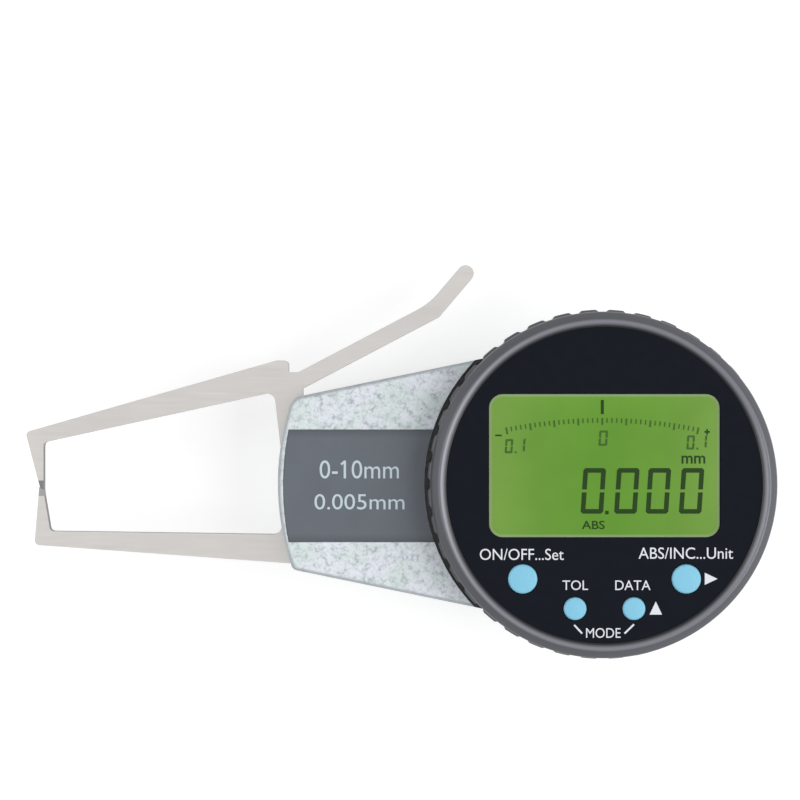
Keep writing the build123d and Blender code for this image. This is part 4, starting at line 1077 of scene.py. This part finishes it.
@dataclass
class Readout:
    """What the display shows: the reading, the pointer and the scale."""

    level: float = 21.5
    digit: Triple = (3.82, 7.75, 0.78)  # width, height and thickness of the bars
    gap: float = 0.5
    slant: float = 0.52
    baseline: float = -4.86
    lefts: tuple[float, ...] = (-4.05, 1.66, 7.02, 12.66)
    point_place: Triple = (0.13, -4.98, 0.6)  # its corner and its side
    small_digit: Triple = (1.3, 2.4, 0.34)
    middle_digit: Triple = (1.45, 2.6, 0.34)
    middle_place: Pair = (-1.0, 6.68)
    end_places: tuple[Pair, ...] = ((-16.95, 5.42), (13.95, 6.05))
    small_point: float = 0.32
    point_shift: float = 1.7  # from the nought's place to the point's
    one_shift: Pair = (2.1, 0.2)  # from the nought's place to the one's
    pointer_width: float = 0.5
    sign_width: float = 0.28
    scale_middle: Pair = (-0.35, -72.8)
    scale_radius: float = 84.2
    scale_step: float = 0.56
    steps_each_side: int = 20
    long_stroke: Pair = (1.15, 0.3)  # length and width, at each fifth step
    short_stroke: Pair = (0.8, 0.22)

    def figure(
        self, left: float, low: float, size: Triple, lit: tuple[Segment, ...] = tuple(Segment)
    ) -> np.ndarray:
        """The lit bars of one slanted digit.

        Args:
            left: The digit's lower left corner, across.
            low: The same corner's height on the display.
            size: The digit's width, height and bar thickness.
            lit: Which bars are lit. All six are a nought.

        Returns:
            Six corners for each bar, anticlockwise.
        """
        wide, tall, bar = size
        share = tall / self.digit[1]
        cut = bar * 0.45
        half = cut / 2
        lower = tall / 2 - self.gap * share / 2
        tip, inner = (half, half), (bar, bar)
        ends = [(wide - cut, 0), (wide - half, half), (wide - bar, bar)]
        level = np.array([inner, tip, (cut, 0), *ends])
        upright = np.array([(0, cut), tip, inner, (bar, lower / 2), (bar, lower), (0, lower)])
        beside = (upright * (-1, 1) + (wide, 0))[::-1]
        far = (wide, tall)
        bars = np.stack([far - level, far - upright, beside, level, upright, far - beside])
        bars = bars[[segment.value for segment in lit]]
        lean = self.slant * share * bars[..., 1] / tall
        return np.stack([left + bars[..., 0] + lean, low + bars[..., 1]], axis=-1)

    def point(self, left: float, low: float, side: float) -> np.ndarray:
        """A square decimal point, with six corners as the bars have."""
        corners = [(0, 0), (0.5, 0), (1, 0), (1, 1), (0.5, 1), (0, 1)]
        return np.array([left, low]) + side * np.array([corners])

    def reading(self) -> np.ndarray:
        """The bars of the reading, four noughts and their point."""
        bars = [self.figure(left, self.baseline, self.digit) for left in self.lefts]
        return np.concatenate([*bars, self.point(*self.point_place)])

    def small_numbers(self) -> np.ndarray:
        """The bars of the scale's middle and end numbers.

        Returns:
            Six corners for each bar, anticlockwise.
        """
        one = (Segment.UPPER_RIGHT, Segment.LOWER_RIGHT)
        bars = []
        for left, low in self.end_places:
            bars.append(self.figure(left, low, self.small_digit))
            bars.append(self.point(left + self.point_shift, low, self.small_point))
            across, up = self.one_shift
            bars.append(self.figure(left + across, low + up, self.small_digit, one))
        bars.append(self.figure(*self.middle_place, self.middle_digit))
        return np.concatenate(bars)

    def scale(self) -> np.ndarray:
        """The strokes of the scale: one a step along an arc, longer at each fifth.

        Returns:
            Four corners for each stroke, anticlockwise.
        """
        step = np.arange(-self.steps_each_side, self.steps_each_side + 1)
        angle = np.radians(90 - step * self.scale_step)
        ray = np.stack([np.cos(angle), np.sin(angle)], axis=-1)
        outer = np.array(self.scale_middle) + ray * self.scale_radius
        strokes = []
        for kept, (length, width) in (
            (step % 5 == 0, self.long_stroke),
            (step % 5 != 0, self.short_stroke),
        ):
            ends = np.stack([outer - ray * length, outer], axis=1)
            strokes.append(stroke(ends[kept], width))
        return np.concatenate(strokes)

    def build(self) -> None:
        """Makes the lit bars and the words on the display."""
        pointer = np.array([[(-0.35, 12.06), (-0.35, 14.47)]])
        dashes = np.array([[(-18.55, 8.45), (-17.45, 8.45)], [(17.0, 9.05), (17.95, 9.05)]])
        upright = np.array([[(17.48, 8.6), (17.48, 9.5)]])
        signs = [stroke(pointer, self.pointer_width), stroke(dashes, self.sign_width)]
        for name, outlines, rise, ink in (
            ("reading", self.reading(), 0.0, SEGMENT_INK),
            ("pointer", np.concatenate(signs), 0.0, SEGMENT_INK),
            ("plus_stroke", stroke(upright, self.sign_width), CROSSING_RISE, SEGMENT_INK),
            ("scale", self.scale(), 0.0, FAINT_INK),
            ("numbers", self.small_numbers(), 0.0, FAINT_INK),
        ):
            mesh = prisms(name, outlines, self.level, rise)
            settle(mesh, f"display_{name}", ink, Body.HEAD)
        for name, words, box, weight in (
            ("unit", "mm", (13.13, 17.15, 3.65, 5.03), 0.012),
            ("absolute", "ABS", (-3.82, 0.05, -7.5, -6.06), 0.008),
        ):
            mesh = lettering(name, words, box, self.level, weight)
            settle(mesh, f"display_{name}", SEGMENT_INK, Body.HEAD)


@dataclass
class PanelPrint:
    """The white print on the front panel, and the label's two lines."""

    panel: float = 21.8
    label: float = 15.9
    line: float = 0.3
    flag: float = 0.36  # of the flag that the font's figure one lacks

    def build(self) -> None:
        """Makes the words, the two marks beside the keys and the short lines."""
        for name, words, box in (
            ("power", "ON/OFF...Set", (-21.19, -6.92, -12.72, -10.8)),
            ("reference", "ABS/INC...Unit", (5.78, 21.84, -12.52, -10.58)),
            ("tolerance", "TOL", (-7.15, -2.8, -17.82, -16.17)),
            ("data", "DATA", (1.82, 7.82, -17.82, -16.17)),
            ("mode", "MODE", (-3.14, 2.73, -25.95, -24.27)),
        ):
            mesh = lettering(name, words, box, self.panel)
            settle(mesh, f"print_{name}", WHITE_INK, Body.HEAD)
        lines = np.array([[(-5.15, -23.75), (-3.8, -25.2)], [(5.0, -23.65), (3.4, -25.2)]])
        right = [(17.03, -16.93), (19.2, -15.91), (17.03, -14.89)]
        up = [(7.65, -21.99), (9.77, -21.99), (8.71, -19.75)]
        for name, outlines in (
            ("lines", stroke(lines, self.line)),
            ("marks", np.array([right, up])),
        ):
            settle(prisms(name, outlines, self.panel), f"print_{name}", WHITE_INK, Body.HEAD)
        flag = stroke(np.array([[(-44.92, 3.32), (-44.25, 3.95)]]), self.flag)
        mesh = prisms("flag", flag, self.label, CROSSING_RISE)
        settle(mesh, "label_one_flag", LABEL_INK, Body.GAUGE)
        for name, words, box in (
            ("range", "0-10mm", (-48.64, -34.94, 0.895, 4.056)),
            ("step", "0.005mm", (-49.53, -33.97, -4.442, -1.765)),
        ):
            mesh = lettering(name, words, box, self.label)
            settle(mesh, f"label_{name}", LABEL_INK, Body.GAUGE)


@dataclass(frozen=True)
class Lamp:
    """A broad soft lamp: its place and width in metres, and its power in watts."""

    name: str
    place: Triple
    power: float
    width: float

    def hang(self, target: Triple) -> None:
        """Hangs the lamp so that it looks at a target.

        Args:
            target: Where it looks, in metres.
        """
        data = bpy.data.lights.new(self.name, "AREA")
        data.energy = self.power
        data.size = self.width
        lamp = bpy.data.objects.new(self.name, data)
        lamp.location = self.place
        aim = Vector(target) - Vector(self.place)
        lamp.rotation_euler = aim.to_track_quat("-Z", "Y").to_euler()
        bpy.context.scene.collection.objects.link(lamp)


@dataclass
class Studio:
    """The camera over the gauge, the pale floor, the lamps and the sky."""

    eye: Triple = (-34.75, 14.47, 382.5)
    focal_pixels: float = 2123.0
    sensor: float = 36.0
    clip: Pair = (0.01, 10.0)  # metres
    floor_size: float = 2.4  # metres
    floor_gap: float = 0.03
    floor_colour: str = "BFBFBF"
    floor_roughness: float = 0.9
    # Near and far in metres from the dial's axis, and the glow far and near
    whitening: tuple[float, float, float, float] = (0.2, 0.7, 1.0, 0.62)
    sky: float = 0.36
    target: Triple = (-0.03, 0.0, 0.01)  # metres
    lamps: tuple[Lamp, ...] = (
        Lamp("key_lamp", (0.60, -0.09, 0.52), 4.7, 0.7),
        Lamp("fill_lamp", (-0.60, 0.05, 0.42), 1.9, 0.6),
        Lamp("back_lamp", (0.0, 0.55, 0.55), 0.3, 0.7),
    )

    def camera(self) -> None:
        """Puts the camera where the photograph was taken from, looking down."""
        data = bpy.data.cameras.new("camera")
        data.sensor_width = self.sensor
        data.lens = self.sensor * self.focal_pixels / PHOTO_PIXELS
        data.clip_start, data.clip_end = self.clip
        data.dof.use_dof = False
        camera = bpy.data.objects.new("camera", data)
        camera.location = [length * MM for length in self.eye]
        bpy.context.scene.collection.objects.link(camera)
        bpy.context.scene.camera = camera

    def looking(self, nodes: Wiring) -> Socket:
        """One for rays from the camera, from gloss and through glass, else nought.

        Args:
            nodes: The nodes to add to.

        Returns:
            That number.
        """
        path = nodes.add("LightPath").node.outputs
        seen = path["Is Camera Ray"]
        for kind in ("Is Glossy Ray", "Is Transmission Ray"):
            seen = nodes.add("Math", {0: seen, 1: path[kind]}, operation="MAXIMUM")
        return seen

    def floor(self) -> None:
        """Lays the floor at the gauge's base, white where nothing shades it, and
        whiter far away, where the lamps no longer reach it."""
        material = bpy.data.materials.new("floor_white_paper")
        material.use_nodes = True
        nodes = Wiring(material.node_tree, material.node_tree.nodes["Principled BSDF"])
        place = nodes.add("TexCoord", out="Object")
        away = nodes.add("VectorMath", {0: place}, "Value", operation="LENGTH")
        white = nodes.add("MapRange", {"Value": away, **limits(*self.whitening)})
        lift = nodes.add("Math", {0: self.looking(nodes), 1: white}, operation="MULTIPLY")
        paper = {
            "Base Color": self.floor_colour,
            "Roughness": self.floor_roughness,
            "Emission Color": "FFFFFF",
            "Emission Strength": lift,
        }
        nodes.feed(nodes.shader, paper)
        half, low = self.floor_size / 2, -self.floor_gap * MM
        corners = [(-half, -half, low), (half, -half, low), (half, half, low), (-half, half, low)]
        mesh = bpy.data.meshes.new("floor")
        mesh.from_pydata(corners, [], [(0, 1, 2, 3)])
        mesh.materials.append(material)
        floor = bpy.data.objects.new("floor", mesh)
        bpy.context.scene.collection.objects.link(floor)

    def surroundings(self) -> None:
        """Lights the sky evenly, and shows it white in metal and glass."""
        world = bpy.data.worlds.new("sky")
        world.use_nodes = True
        nodes = Wiring(world.node_tree, world.node_tree.nodes["Background"])
        share = {"Value": self.looking(nodes), **limits(0.0, 1.0, 1.0, self.sky)}
        nodes.feed(nodes.shader, {"Color": "FFFFFF", "Strength": nodes.add("MapRange", share)})
        bpy.context.scene.world = world

    def build(self) -> None:
        """Sets the whole stage."""
        bpy.context.scene.view_settings.view_transform = "Standard"
        self.camera()
        self.floor()
        for lamp in self.lamps:
            lamp.hang(self.target)
        self.surroundings()


def main() -> None:
    """Builds the stage and the gauge's looks."""
    logging.basicConfig(level=logging.INFO, format="%(name)s: %(message)s")
    for part in (Studio, Inside, Copies, BezelRing, Keys, Readout, PanelPrint):
        LOG.info("building %s", part.__name__)
        part().build()


if __name__ == "__main__":
    main()
